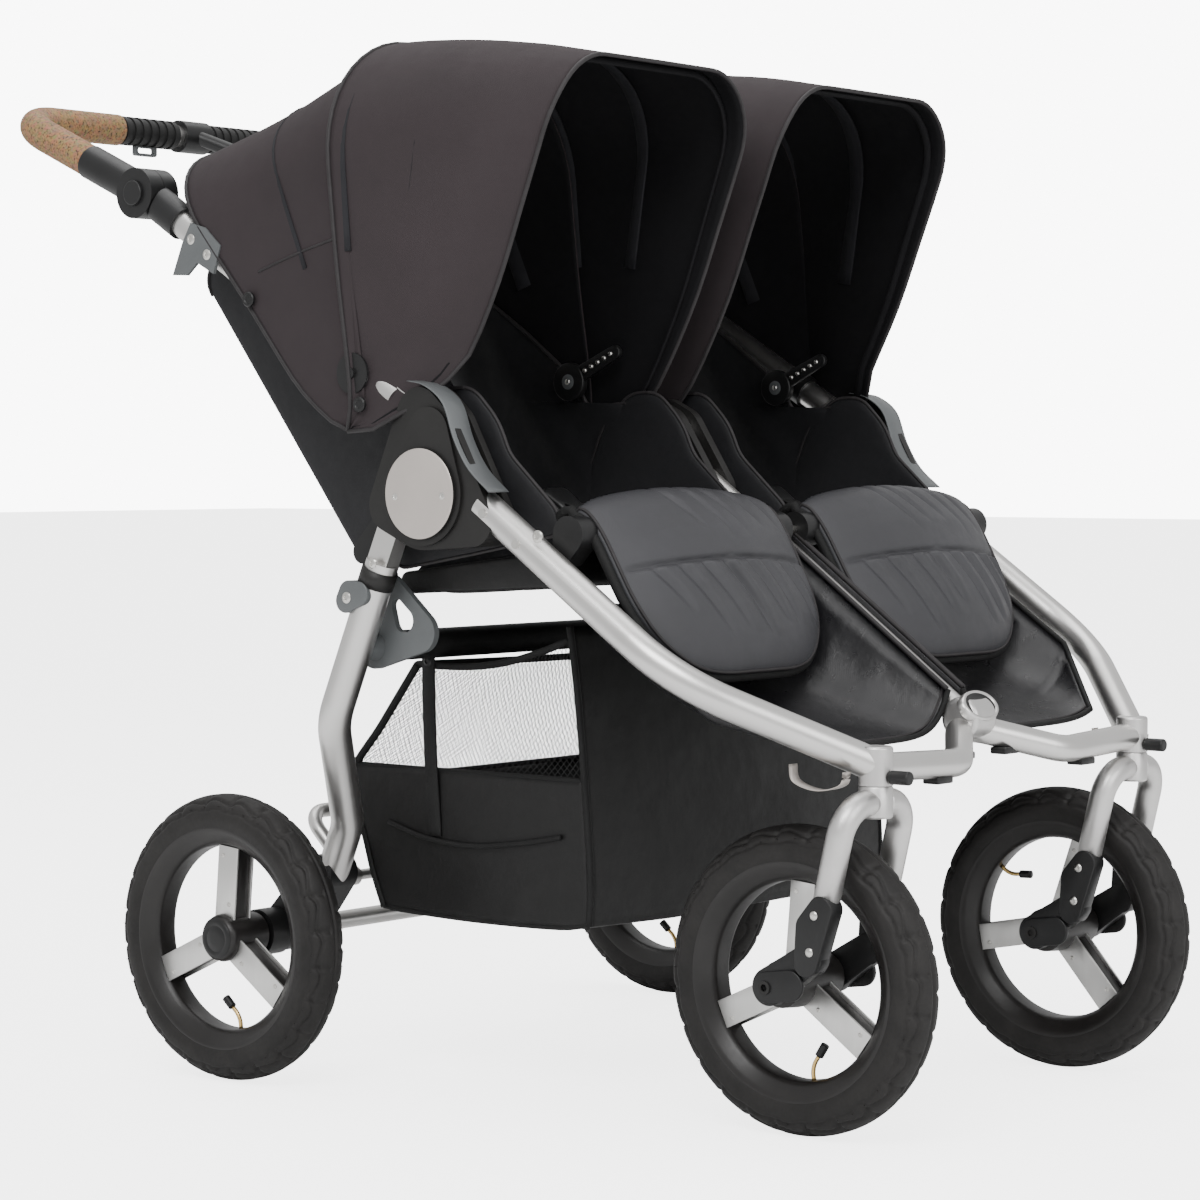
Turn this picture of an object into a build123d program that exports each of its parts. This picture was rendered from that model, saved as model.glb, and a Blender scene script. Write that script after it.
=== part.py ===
from build123d import *
import os
from math import atan2, cos, degrees, radians, sin

# Side-by-side twin jogging stroller, millimetres, +Z up. It faces -Y, so its left side is +X.
# Everything is laid out from the middle of the rear axle on the floor: y = 0 is the rear axle.
# save() then shifts the whole object so that its origin is under the middle of its box.

os.makedirs("parts", exist_ok=True)

# ---------------------------------------------------------------- driving dimensions
WHEEL_R = 146.0             # 12 inch air tyre
TYRE_HALF_WIDTH = 24.7
TYRE_HALF_DEPTH = 23.8
TYRE_WALL = 4.0
RIM_SEAT_R = 109.0          # where the tyre sits on the rim
RIM_OPENING_R = 93.5
RIM_HALF_WIDTH = 20.0
SPOKE_WIDTH = 27.0
SPOKE_HALF_DEPTH = 12.0
AXLE_R = 6.0
RUNNING = 0.05              # radial clearance of everything that turns on a pin

REAR_WHEEL_X = 362.6
FRONT_AXLE_Y = -619.0
CASTER_X = 232.0            # swivel axis and front wheel
CASTER_Y = -700.0

SIDE_X = 362.0              # middle of the uprights, hubs and rear leg tops
DOWN_TUBE_X = 366.0
FOLD = (-286.0, 655.0)      # (y, z) of the pivot that the handle frame folds about
LEG_PIVOT = (-234.0, 587.0)
DISC = (-278.0, 598.0)      # centre of the round hub badge
TILT = (118.0, 904.0)       # pivot of the adjustable handle
RECLINE = (-165.0, 540.0)
CALF = (-432.0, 560.0)
BRAKE_PIVOT = (-50.0, 200.0)

UPRIGHT_R = 14.5
LEG_R = 16.5
DOWN_TUBE_R = 15.5
CENTRE_TUBE_R = 12.0
HANDLE_R = 12.0
CORK_R = 17.0
CROSSBAR_R = 14.0
AXLE_TUBE_R = 9.5
BRAKE_ROD_R = 5.5
TUBE_WALL = 1.8
HINGE_ROD_R = 4.0

HANDLE_BAR = (318.0, 993.0)  # (y, z) of the bar across the top
HANDLE_BEND = 52.0

SEAT_IN, SEAT_OUT = 46.0, 322.0        # a seat pad's two sides
WING_IN, WING_OUT = (36.0, 42.0), (326.0, 333.0)
CANOPY_IN, CANOPY_OUT = 27.0, 388.0    # the hood's sides pass outside the uprights
CANOPY_WALL = 3.0
CANOPY_CORNER = 125.0
HOOD_GAP = 1.0              # between the front half of a hood and the rear half below it
BASKET_HALF_WIDTH = 250.0
BASKET_WALL = 3.0

FRONT_END = FRONT_AXLE_Y - WHEEL_R
REAR_END = HANDLE_BAR[0] + CORK_R
Y_SHIFT = -(FRONT_END + REAR_END) / 2


# ---------------------------------------------------------------- helpers
def save(name, *solids):
    """Write one sub-part: a single solid, or a group of equal pieces."""
    shape = solids[0] if len(solids) == 1 else Compound([s for part in solids for s in part.solids()])
    export_step(Pos(0, Y_SHIFT, 0) * shape, f"parts/{name}.step")


def flipped(shape):
    """The same piece on the right side of the stroller."""
    return mirror(shape, about=Plane.YZ)


def both(shape):
    """A left piece and its right twin."""
    return shape, flipped(shape)


def rod(start, end, radius):
    """A round bar between two points."""
    start, end = Vector(*start), Vector(*end)
    return extrude(Plane(start, z_dir=end - start) * Circle(radius), (end - start).length)


def pin(yz, x0, x1, radius):
    """A round bar along X."""
    return rod((x0, *yz), (x1, *yz), radius)


def tube(points, radius, bend=0, wall=0):
    """A bent tube, or a solid bar when wall is 0."""
    path = FilletPolyline(*points, radius=bend) if len(points) > 2 else Line(*points)
    section = Circle(radius)
    if wall:
        section -= Circle(radius - wall)
    return sweep(Plane(path @ 0, z_dir=path % 0) * section, path=path)


def plate(outline, x0, x1):
    """A flat piece: an outline in (y, z) that spans x0 to x1."""
    return extrude(Plane.YZ.offset(x0) * outline, x1 - x0, dir=(1, 0, 0))


def disc(yz, radius):
    return Pos(*yz) * Circle(radius)


def hull(*discs):
    """The tight outline round several discs, each (centre, radius)."""
    return make_hull(ShapeList(edge for one in discs for edge in disc(*one).edges()))


def along(pivot, angle, distance):
    """The (y, z) point at a distance from a pivot, at an angle above +Y."""
    return (pivot[0] + distance * cos(radians(angle)), pivot[1] + distance * sin(radians(angle)))


def angle_to(start, end):
    return degrees(atan2(end[1] - start[1], end[0] - start[0]))


UPRIGHT_ANGLE = angle_to(FOLD, TILT)
ARM_ANGLE = angle_to(TILT, HANDLE_BAR)
LEG_ANGLE = angle_to(LEG_PIVOT, (-176, 455))


# ---------------------------------------------------------------- folding hubs
KNUCKLE_R = 22.0            # round end of an upright or leg inside its hub
TANG_HALF_WIDTH = 13.0
FOLD_TUBE_START = 66.0      # from the fold pivot to where the round tube starts
LEG_TUBE_START = 62.0
FOLD_TRAVEL = 165.0         # degrees that the handle frame turns when folding
LEG_TRAVEL = 41.0
TANG_SPREAD = 36.0          # degrees that a tang takes up either side of its own angle


def swept_sector(pivot, radius, first, last):
    """The wedge that a tang sweeps, from angle first to angle last."""
    count = 6
    step = (last - first) / count
    rim = [along(pivot, first + i * step, radius) for i in range(count + 1)]
    return Polygon(pivot, *rim, align=None)


def upright_slot():
    """The room that an upright's tang needs in its hub."""
    last = UPRIGHT_ANGLE + FOLD_TRAVEL + TANG_SPREAD
    return disc(FOLD, KNUCKLE_R + 2) + swept_sector(FOLD, 110, UPRIGHT_ANGLE - TANG_SPREAD, last)


def leg_slot():
    """The room that a rear leg's tang needs in its hub."""
    first = LEG_ANGLE - LEG_TRAVEL - TANG_SPREAD
    return disc(LEG_PIVOT, KNUCKLE_R + 1) + swept_sector(LEG_PIVOT, 120, first, LEG_ANGLE + TANG_SPREAD)


def hub_outline():
    return hull((FOLD, 31), ((-272, 672), 28), (DISC, 54), ((-340, 572), 24), (LEG_PIVOT, 26))


def side_hub():
    """The left fold hub: two cheeks with slots for the upright and the rear leg."""
    body = plate(hub_outline(), SIDE_X - 18, SIDE_X + 18)
    slot_x = (SIDE_X - 9.5, SIDE_X + 9.5)
    body -= plate(upright_slot(), *slot_x)
    body -= plate(leg_slot(), *slot_x)
    body -= rod(DOWN_TUBE[0], DOWN_TUBE[1], DOWN_TUBE_R)
    for pivot in (FOLD, LEG_PIVOT):
        body += pin(pivot, slot_x[0], slot_x[1], 5.0)
    return body


def knuckle(pivot, angle, start, x_mid, half_thickness):
    """The flat round-ended tang on which a tube turns in its hub."""
    bar = Pos(*pivot) * (Rot(0, 0, angle) * (Pos(start / 2, 0) * Rectangle(start, 2 * TANG_HALF_WIDTH)))
    eye = disc(pivot, KNUCKLE_R)
    bore = disc(pivot, 5.0 + RUNNING)
    return plate(eye + bar - bore, x_mid - half_thickness, x_mid + half_thickness)


def folding_tube(pivot, angle, start, points, x_mid, radius, half_thickness, bend=0):
    """A tube with its tang: the tube starts past the hub's rim."""
    first = (x_mid, *along(pivot, angle, start - 1))
    return knuckle(pivot, angle, start, x_mid, half_thickness) + tube([first, *points], radius, bend)


DOWN_TUBE = [(DOWN_TUBE_X, -343, 588), (DOWN_TUBE_X, -570, 430), (CASTER_X, CASTER_Y, 351)]
DOWN_TUBE_BEND = 150.0
HEAD_R = 16.0
HEAD_BOTTOM, HEAD_TOP = 333.0, 369.0
CROSS_TUBE = [(-CASTER_X, CASTER_Y, 349), (-95, -702, 344), (0, -640, 372),
              (95, -702, 344), (CASTER_X, CASTER_Y, 349)]
CENTRE_TUBE = [(0, -330, 612), (0, -650, 378)]
CREST = (0, -652, 379)

# ---------------------------------------------------------------- front frame
head_core = rod((CASTER_X, CASTER_Y, HEAD_BOTTOM), (CASTER_X, CASTER_Y, HEAD_TOP), HEAD_R)
head_tube = head_core - rod((CASTER_X, CASTER_Y, HEAD_BOTTOM), (CASTER_X, CASTER_Y, HEAD_TOP - 8), 8 + RUNNING)
head_tube = fillet(head_tube.edges().group_by(Axis.Z)[-1], 3)
knob_y = (CASTER_Y - HEAD_R - 0.2, CASTER_Y - HEAD_R - 22)
head_tube -= rod((CASTER_X, CASTER_Y, 341), (CASTER_X, CASTER_Y - 30, 341), 3 + RUNNING)
save("head_tubes", *both(head_tube))

SCREW_R = 4.5
screw_sites = [Vector(*DOWN_TUBE[0]) + (Vector(*DOWN_TUBE[1]) - Vector(*DOWN_TUBE[0])).normalized() * d
               for d in (14, 64)]
frame_screws = [pin((p.Y, p.Z), DOWN_TUBE_X + 12, DOWN_TUBE_X + DOWN_TUBE_R + 1.5, SCREW_R) for p in screw_sites]
down_tube = tube(DOWN_TUBE, DOWN_TUBE_R, DOWN_TUBE_BEND, TUBE_WALL)
down_tube -= head_core
for screw in frame_screws:
    down_tube -= screw
save("down_tubes", *both(down_tube))
save("frame_screws", *[s for screw in frame_screws for s in both(screw)])

cross_envelope = tube(CROSS_TUBE, DOWN_TUBE_R - 2, 45)
cross_tube = tube(CROSS_TUBE, DOWN_TUBE_R - 2, 45, TUBE_WALL)
for core in both(head_core):
    cross_tube -= core
save("front_cross_tube", cross_tube)

centre_envelope = tube(CENTRE_TUBE, CENTRE_TUBE_R)
crest = pin(CREST[1:], -20, 20, 21)
crest = fillet(crest.edges().filter_by(GeomType.CIRCLE), 6)
crest = crest - cross_envelope - centre_envelope
crest = max(crest.solids(), key=lambda s: s.volume)
save("crest_bracket", crest)
save("centre_tube", tube(CENTRE_TUBE, CENTRE_TUBE_R, 0, TUBE_WALL) - cross_envelope)

hub = side_hub()
save("fold_hubs", *both(hub))
down_envelope = tube(DOWN_TUBE, DOWN_TUBE_R, DOWN_TUBE_BEND)
cover = plate(hull((FOLD, 26), (DISC, 50)), SIDE_X + 18, SIDE_X + 21) - down_envelope
badge = plate(disc(DISC, 44), SIDE_X + 21, SIDE_X + 24)
save("hub_covers", *both(cover), *both(badge))

CENTRE_HUB_HALF = 18.0
centre_hub = plate(hull((FOLD, 31), ((-272, 672), 22), (DISC, 40), ((-335, 600), 20)), -CENTRE_HUB_HALF,
                   CENTRE_HUB_HALF)
centre_hub -= plate(upright_slot(), -7.5, 7.5)
centre_hub -= centre_envelope
centre_hub += pin(FOLD, -7.5, 7.5, 5)
save("centre_hub", centre_hub)

# side plates carry the seat backs' hinge rods
PLATE_OUT = (341.2, SIDE_X - 18)
PLATE_IN = (CENTRE_HUB_HALF, 25.0)
plate_outline = hull((FOLD, 22), (RECLINE, 12), (DISC, 30))
side_plates = [plate(plate_outline, *PLATE_OUT), plate(plate_outline, *PLATE_IN)]

seat_rod = pin(RECLINE, PLATE_IN[1], PLATE_OUT[0], HINGE_ROD_R)
calf_rod = pin(CALF, -345, 345, HINGE_ROD_R)
save("hinge_rods", *both(seat_rod), calf_rod)

calf_boss_out = plate(hull((CALF, 18), ((-424, 540), 10)), 326, 350) - down_envelope - calf_rod
calf_boss_in = plate(disc(CALF, 18), 13, 40) - calf_rod
save("seat_brackets", *[s for bracket in (*side_plates, calf_boss_out, calf_boss_in) for s in both(bracket)])

# ---------------------------------------------------------------- seats (fabric on the front frame)
base_outline = Polygon((-192, 495), (-415, 508), (-420, 560), (-405, 573), (-215, 534), (-192, 526), align=None)
seat_base = plate(base_outline, SEAT_IN - 2, SEAT_OUT + 2)
save("seat_bases", *both(seat_base))

wing_outline = Polygon((-298, 700), (-330, 668), (-342, 636), (-404, 580), (-408, 560), (-200, 522),
                       (-182, 560), (-226, 668), (-262, 700), align=None)
side_outline = Polygon((-262, 690), (-205, 684), (-190, 712), (-122, 764), (-52, 810), (8, 848),
                       (52, 842), (66, 812), (-150, 532), (-200, 523), align=None)
outer_wing = plate(wing_outline, *WING_OUT) + plate(side_outline, *WING_OUT) - seat_rod
inner_wing = plate(wing_outline, *WING_IN) + plate(side_outline, *WING_IN) - seat_rod
save("seat_wings", *both(outer_wing), *both(inner_wing))

WELL_WALL = 3.0
well_line = Polyline((-635, 367), (-492, 398), (-425, 490))
well_section = make_face(offset(well_line, WELL_WALL / 2, side=Side.BOTH).edges())
foot_well = plate(well_section, 24, 278)
save("foot_wells", *both(foot_well))

# ---------------------------------------------------------------- basket
BASKET_TOP = 424.0
basket_outline = Polygon((-107, 172), (-380, 176), (-352, 470), (-200, BASKET_TOP), (-153, BASKET_TOP),
                         (-56, 300), (-78, 250), align=None)
inside_outline = Polygon((-110, 175), (-376.5, 179), (-343, 540), (-200, 540), (-154, 420),
                         (-60, 299.5), (-81, 250), align=None)
basket = plate(basket_outline, -BASKET_HALF_WIDTH, BASKET_HALF_WIDTH)
basket -= plate(inside_outline, BASKET_WALL - BASKET_HALF_WIDTH, BASKET_HALF_WIDTH - BASKET_WALL)
save("storage_basket", basket)

# ---------------------------------------------------------------- seat backs, canopies, calf rests
back_angle = 52.4
back_length, back_thickness = 370.0, 28.0
back_foot = (-150, 532)
back_outline = Pos(*back_foot) * (Rot(0, 0, back_angle) * (Pos(back_length / 2, back_thickness / 2)
                                                          * RectangleRounded(back_length, back_thickness, 8)))
seat_back = plate(back_outline, SEAT_IN, SEAT_OUT) - pin(RECLINE, 0, 400, HINGE_ROD_R + RUNNING)
save("seat_back_left", seat_back)
save("seat_back_right", flipped(seat_back))


CANOPY_PIVOT = along(FOLD, UPRIGHT_ANGLE, 113)
CANOPY_PIN_R = 5.0
RATCHET_R = 20.0
SEAM = [(-186, 640), (-188, 700), (-172, 820), (-158, 960), (-150, 1100)]    # between the two halves of a hood


def canopy_outline(top_drop, spread):
    """Side view of the hood: a round top, a curved front rim and a lower hem."""
    top = ThreePointArc((92 + spread, 952 - top_drop - 0.4 * spread), (-190, 1049 - top_drop),
                        (-412 - spread, 1015 - top_drop - 0.15 * spread))
    rim = Spline(top @ 1, (-402 - spread, 962), (-368 - spread, 872), (-332 - spread, 785),
                 (-281 - spread, 696 - spread), (-209, 656 - spread))
    hem = Spline(rim @ 1, (-163, 668 - spread), (-109 + spread, 708 - spread), (-42 + spread, 787 - spread),
                 (62 + spread, 912 - spread))
    tail = Line(hem @ 1, top @ 0)
    return make_face([top, rim, hem, tail])


def rounded_hood(outline, x0, x1, corner):
    """A hood whose two long upper edges are rounded."""
    body = plate(outline, x0, x1)
    arcs = body.edges().filter_by(GeomType.CIRCLE)
    return fillet(arcs, corner)


def hood_shell(drop):
    """The whole fabric hood, drop millimetres inside its outer shape."""
    outside = rounded_hood(canopy_outline(drop, 0), CANOPY_IN + drop, CANOPY_OUT - drop, CANOPY_CORNER - drop)
    inside = rounded_hood(canopy_outline(drop + CANOPY_WALL, 30), CANOPY_IN + drop + CANOPY_WALL,
                          CANOPY_OUT - drop - CANOPY_WALL, CANOPY_CORNER - drop - CANOPY_WALL)
    return outside - inside


def seam_region(edge_y, shift):
    """Everything on one side of the seam between the two halves, in (y, z)."""
    line = [(y + shift, z) for y, z in SEAM]
    return Polygon(*line, (edge_y, 1100), (edge_y, 640), align=None)


hood_bore = pin(CANOPY_PIVOT, 0, 400, CANOPY_PIN_R + RUNNING)
front_hood = hood_shell(0) & plate(seam_region(-600, 0), 0, 400)
front_hood = max((front_hood - hood_bore).solids(), key=lambda s: s.volume)
rear_drop = CANOPY_WALL + HOOD_GAP
rear_hood = hood_shell(rear_drop) & plate(seam_region(300, -8), 0, 400)
rear_hood -= pin(CANOPY_PIVOT, 0, 400, RATCHET_R + 4)
rear_hood = max(rear_hood.solids(), key=lambda s: s.volume)
ratchets = [pin(CANOPY_PIVOT, CANOPY_OUT - CANOPY_WALL - 2.8, CANOPY_OUT - CANOPY_WALL, RATCHET_R) - hood_bore,
            pin(CANOPY_PIVOT, CANOPY_IN - 4, CANOPY_IN, RATCHET_R) - hood_bore]
for side, turn in (("left", lambda s: s), ("right", flipped)):
    save(f"canopy_front_{side}", turn(front_hood))
    save(f"canopy_rear_{side}", turn(rear_hood))
    save(f"canopy_ratchets_{side}", *[turn(r) for r in ratchets])

CALF_THICKNESS = 14.0
calf_tip = (-508, 424)
calf_length = ((calf_tip[0] - CALF[0]) ** 2 + (calf_tip[1] - CALF[1]) ** 2) ** 0.5
calf_slab = Pos(0, -calf_length / 2 + 3) * RectangleRounded(SEAT_OUT - SEAT_IN - 6, calf_length + 12, 22)
calf_plane = Plane(((SEAT_IN + SEAT_OUT) / 2, *CALF), x_dir=(1, 0, 0),
                   z_dir=(0, calf_tip[1] - CALF[1], -(calf_tip[0] - CALF[0])))
calf_rest = extrude(calf_plane * calf_slab, CALF_THICKNESS / 2, both=True)
calf_rest -= pin(CALF, 0, 400, HINGE_ROD_R + RUNNING)
save("calf_rest_left", calf_rest)
save("calf_rest_right", flipped(calf_rest))

# ---------------------------------------------------------------- handle frame
upright_end = along(FOLD, UPRIGHT_ANGLE, 425)
upright = folding_tube(FOLD, UPRIGHT_ANGLE, FOLD_TUBE_START, [(SIDE_X, *upright_end)], SIDE_X, UPRIGHT_R, 9)
LATCH_PIVOT = along(FOLD, UPRIGHT_ANGLE, 378)
upright += pin(LATCH_PIVOT, SIDE_X, SIDE_X + 18.5, 4)
save("uprights", *both(upright))
centre_upright = folding_tube(FOLD, UPRIGHT_ANGLE, FOLD_TUBE_START, [(0, *upright_end)], 0, 10, 7)
save("centre_upright", centre_upright)

# clips on the uprights carry the canopy pivots
clip_span = [along(FOLD, UPRIGHT_ANGLE, 113 + d) for d in (-14, 14)]
outer_clip = rod((SIDE_X, *clip_span[0]), (SIDE_X, *clip_span[1]), 18)
outer_clip += pin(CANOPY_PIVOT, SIDE_X + 12, CANOPY_OUT, CANOPY_PIN_R)
outer_clip -= rod((SIDE_X, *FOLD), (SIDE_X, *upright_end), UPRIGHT_R)
centre_clip = rod((0, *clip_span[0]), (0, *clip_span[1]), 14)
centre_clip += pin(CANOPY_PIVOT, -CANOPY_IN - CANOPY_WALL, CANOPY_IN + CANOPY_WALL, CANOPY_PIN_R)
centre_clip -= rod((0, *FOLD), (0, *upright_end), 10)
save("canopy_mounts", *both(outer_clip), centre_clip)

TILT_DISC_R = 26.0
SPLIT = 0.3                 # half of the gap between the two clamp halves
JOINT_PIN_R = 8.0


def lower_clamp(x_mid, half, sleeve_r, tube_r):
    """The clamp half on the upright: a sleeve and the inner disc with its pin."""
    sleeve = rod((x_mid, *along(FOLD, UPRIGHT_ANGLE, 412)), (x_mid, *TILT), sleeve_r)
    sleeve -= pin(TILT, x_mid - SPLIT, x_mid + 60, TILT_DISC_R + 1.5)
    sleeve += pin(TILT, x_mid - half, x_mid - SPLIT, TILT_DISC_R)
    sleeve += pin(TILT, x_mid - SPLIT, x_mid + half - 6, JOINT_PIN_R)
    return sleeve - rod((x_mid, *along(FOLD, UPRIGHT_ANGLE, 380)), (x_mid, *upright_end), tube_r)


def upper_clamp(x_mid, half, sleeve_r, tube_r, length):
    """The clamp half on the handle: a sleeve and the outer disc that turns on the pin."""
    sleeve = rod((x_mid, *TILT), (x_mid, *along(TILT, ARM_ANGLE, length)), sleeve_r)
    sleeve -= pin(TILT, x_mid - 60, x_mid + SPLIT, TILT_DISC_R + 1.5)
    sleeve += pin(TILT, x_mid + SPLIT, x_mid + half, TILT_DISC_R)
    sleeve -= pin(TILT, x_mid - 60, x_mid + half - 6 + RUNNING, JOINT_PIN_R + RUNNING)
    sleeve -= pin(TILT, x_mid + half - 5, x_mid + half + 20, 13 + RUNNING)
    return sleeve - rod((x_mid, *along(TILT, ARM_ANGLE, 40)), (x_mid, *along(TILT, ARM_ANGLE, length + 9)), tube_r)


TILT_HALF = 19.0
clamp_low = lower_clamp(SIDE_X, TILT_HALF, 18, UPRIGHT_R)
centre_low = lower_clamp(0, 12, 14, 10)
save("tilt_clamps_lower", *both(clamp_low), centre_low)
clamp_high = upper_clamp(SIDE_X, TILT_HALF, 18, HANDLE_R, 92)
save("tilt_clamps_upper", *both(clamp_high))
button = pin(TILT, SIDE_X + TILT_HALF - 2, SIDE_X + TILT_HALF + 4, 13)
button = fillet(button.edges().group_by(Axis.X)[-1], 2)
save("tilt_button_left", button)
save("tilt_button_right", flipped(button))

latch_x = (SIDE_X + UPRIGHT_R + 0.3, SIDE_X + UPRIGHT_R + 4.0)
latch_shape = Polygon((-46, -14), (-40, 15), (-12, 20), (9, 14), (9, -10), (4, -44), (-14, -34), (-20, -16),
                      align=None)
latch_face = Pos(*LATCH_PIVOT) * (Rot(0, 0, UPRIGHT_ANGLE) * latch_shape)
latch = plate(latch_face, *latch_x) - pin(LATCH_PIVOT, SIDE_X, SIDE_X + 40, 4 + RUNNING)
save("fold_latch_left", latch)
save("fold_latch_right", flipped(latch))

# ---------------------------------------------------------------- handle bar
arm_foot = (SIDE_X, *along(TILT, ARM_ANGLE, 46))
corner = (SIDE_X, *HANDLE_BAR)
handle_path = [arm_foot, corner, (-SIDE_X, *HANDLE_BAR), (-arm_foot[0], *arm_foot[1:])]
save("handlebar", tube(handle_path, HANDLE_R, HANDLE_BEND, TUBE_WALL))
CORK_END_X = 218.0
cork_path = [(SIDE_X, *along(TILT, ARM_ANGLE, 92)), corner, (CORK_END_X, *HANDLE_BAR)]
cork = tube(cork_path, CORK_R, HANDLE_BEND) - tube(handle_path, HANDLE_R, HANDLE_BEND)
save("cork_grips", *both(cork))


def ribbed_sleeve(x0, x1, pitch=11.0):
    """A grip sleeve round the bar with square ribs."""
    sleeve = pin(HANDLE_BAR, x0, x1, 14.5)
    count = int((x1 - x0) / pitch)
    for i in range(count):
        middle = x0 + (i + 0.5) * (x1 - x0) / count
        sleeve += pin(HANDLE_BAR, middle - 3, middle + 3, 16)
    return sleeve - pin(HANDLE_BAR, x0 - 1, x1 + 1, HANDLE_R)


RIB_OUT = (134.0, CORK_END_X)
COLLAR_X = 106.0
save("ribbed_grips", *both(ribbed_sleeve(*RIB_OUT)), ribbed_sleeve(-82, 82))

# strap loop under the outer ribbed grip on the right
loop_plane = Plane((-176, HANDLE_BAR[0], HANDLE_BAR[1] - 20), x_dir=(1, 0, 0), z_dir=(0, 1, 0))
loop_ring = RectangleRounded(32, 12, 3) - RectangleRounded(25, 6, 2)
strap_loop = extrude(loop_plane * loop_ring, 3, both=True) - pin(HANDLE_BAR, -CORK_END_X, -RIB_OUT[0], 16)
save("strap_loop", strap_loop)

centre_high = upper_clamp(0, 12, 14, HANDLE_R, 70)
yoke = centre_high
for turn in (1, -1):
    branch = tube([(0, *along(TILT, ARM_ANGLE, 62)), (turn * 40, *along(TILT, ARM_ANGLE, 120)),
                   (turn * COLLAR_X, HANDLE_BAR[0] - 10, HANDLE_BAR[1])], 8, 30)
    yoke += branch
    collar = pin(HANDLE_BAR, COLLAR_X - 20, COLLAR_X + 20, 18)
    yoke += collar if turn > 0 else flipped(collar)
yoke -= pin(HANDLE_BAR, -200, 200, HANDLE_R)
save("centre_yoke", yoke)

# ---------------------------------------------------------------- rear frame
leg_points = [(SIDE_X, -142, 372), (292, -96, 262), (278, -60, 205)]
leg = folding_tube(LEG_PIVOT, LEG_ANGLE, LEG_TUBE_START, leg_points, SIDE_X, LEG_R, 9, 70)
save("rear_legs", *both(leg))

CROSSBAR = (-173.0, 446.0)
crossbar = pin(CROSSBAR, -SIDE_X, SIDE_X, CROSSBAR_R)
crossbar -= pin(CROSSBAR, -SIDE_X, SIDE_X, CROSSBAR_R - 2.5)
for one_leg in both(leg):
    crossbar -= one_leg
crossbar = max(crossbar.solids(), key=lambda s: s.volume)
save("crossbar", crossbar)

hook_outline = hull((CROSSBAR, 22), ((-232, 462), 20), ((-196, 508), 9))
hook_outline -= hull(((-212, 473), 12), ((-203, 487), 7)) + disc(CROSSBAR, CROSSBAR_R)
hook = plate(hook_outline, 328, 335)
save("hook_plates", *both(hook))

BRACKET_X = (258.0, 298.0)
axle_body = pin((0, WHEEL_R), -BRACKET_X[1], BRACKET_X[1], AXLE_TUBE_R)
axle_body += pin((0, WHEEL_R), -REAR_WHEEL_X - 16, REAR_WHEEL_X + 16, AXLE_R)
save("rear_axle", axle_body)
brake_rod = pin(BRAKE_PIVOT, -BRACKET_X[0] - 6, BRACKET_X[0] + 6, BRAKE_ROD_R)
save("brake_rod", brake_rod)
bracket = plate(hull(((0, WHEEL_R), 22), ((-58, 208), 20), ((-40, 178), 16)), *BRACKET_X)
bracket += pin((0, WHEEL_R), BRACKET_X[1], 326, 24)
bracket = bracket - leg - axle_body - brake_rod
bracket = max(bracket.solids(), key=lambda s: s.volume)
save("axle_brackets", *both(bracket))

PEDAL_X = 238.0
PEDAL_R = 7.5
pedal_path = [(PEDAL_X, *BRAKE_PIVOT), (PEDAL_X, 14, 262), (-PEDAL_X, 14, 262), (-PEDAL_X, *BRAKE_PIVOT)]
pedal = tube(pedal_path, PEDAL_R, 26)
for x in (PEDAL_X, -PEDAL_X):
    pedal += pin(BRAKE_PIVOT, x - 6, x + 6, 10)
pedal -= pin(BRAKE_PIVOT, -260, 260, BRAKE_ROD_R + RUNNING)
save("brake_pedal", pedal)

# ---------------------------------------------------------------- casters
FORK_LEG_OFFSET = 48.0
FORK_LEG_R = 12.5
AXLE_FRONT = (FRONT_AXLE_Y, WHEEL_R)


def fork():
    """A caster fork: crown, two bowed legs, riveted brackets and axle bosses."""
    crown_top = HEAD_BOTTOM - 0.5
    body = rod((CASTER_X, CASTER_Y, 303), (CASTER_X, CASTER_Y, crown_top), HEAD_R)
    body += rod((CASTER_X, CASTER_Y, 303), (CASTER_X, CASTER_Y, HEAD_TOP - 9), 8)
    for sign in (1, -1):
        x = CASTER_X + sign * FORK_LEG_OFFSET
        body += tube([(CASTER_X, CASTER_Y, 317), (x, CASTER_Y, 317), (x, -672, 200)], FORK_LEG_R, 30)
        faces = sorted((CASTER_X + sign * 42, CASTER_X + sign * 57))
        body += plate(hull(((-680, 222), 12), ((-668, 205), 14), ((-664, 172), 12)), *faces)
        body += plate(hull(((-664, 176), 14), (AXLE_FRONT, 17)), *faces)
        body += pin(AXLE_FRONT, *sorted((CASTER_X + sign * 42, CASTER_X + sign * 90)), 15)
    return body - pin(AXLE_FRONT, 0, 400, AXLE_R)


caster_fork = fork()
front_axle = pin(AXLE_FRONT, CASTER_X - 88, CASTER_X + 88, AXLE_R)
knob = rod((CASTER_X, knob_y[0], 341), (CASTER_X, knob_y[1], 341), 6.5)
knob = fillet(knob.edges().filter_by(GeomType.CIRCLE), 2)
knob += rod((CASTER_X, CASTER_Y - 10, 341), (CASTER_X, knob_y[1] + 3, 341), 3)
for side, turn in (("left", lambda s: s), ("right", flipped)):
    save(f"caster_fork_{side}", turn(caster_fork))
    save(f"front_axle_{side}", turn(front_axle))
    save(f"swivel_lock_{side}", turn(knob))


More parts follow.
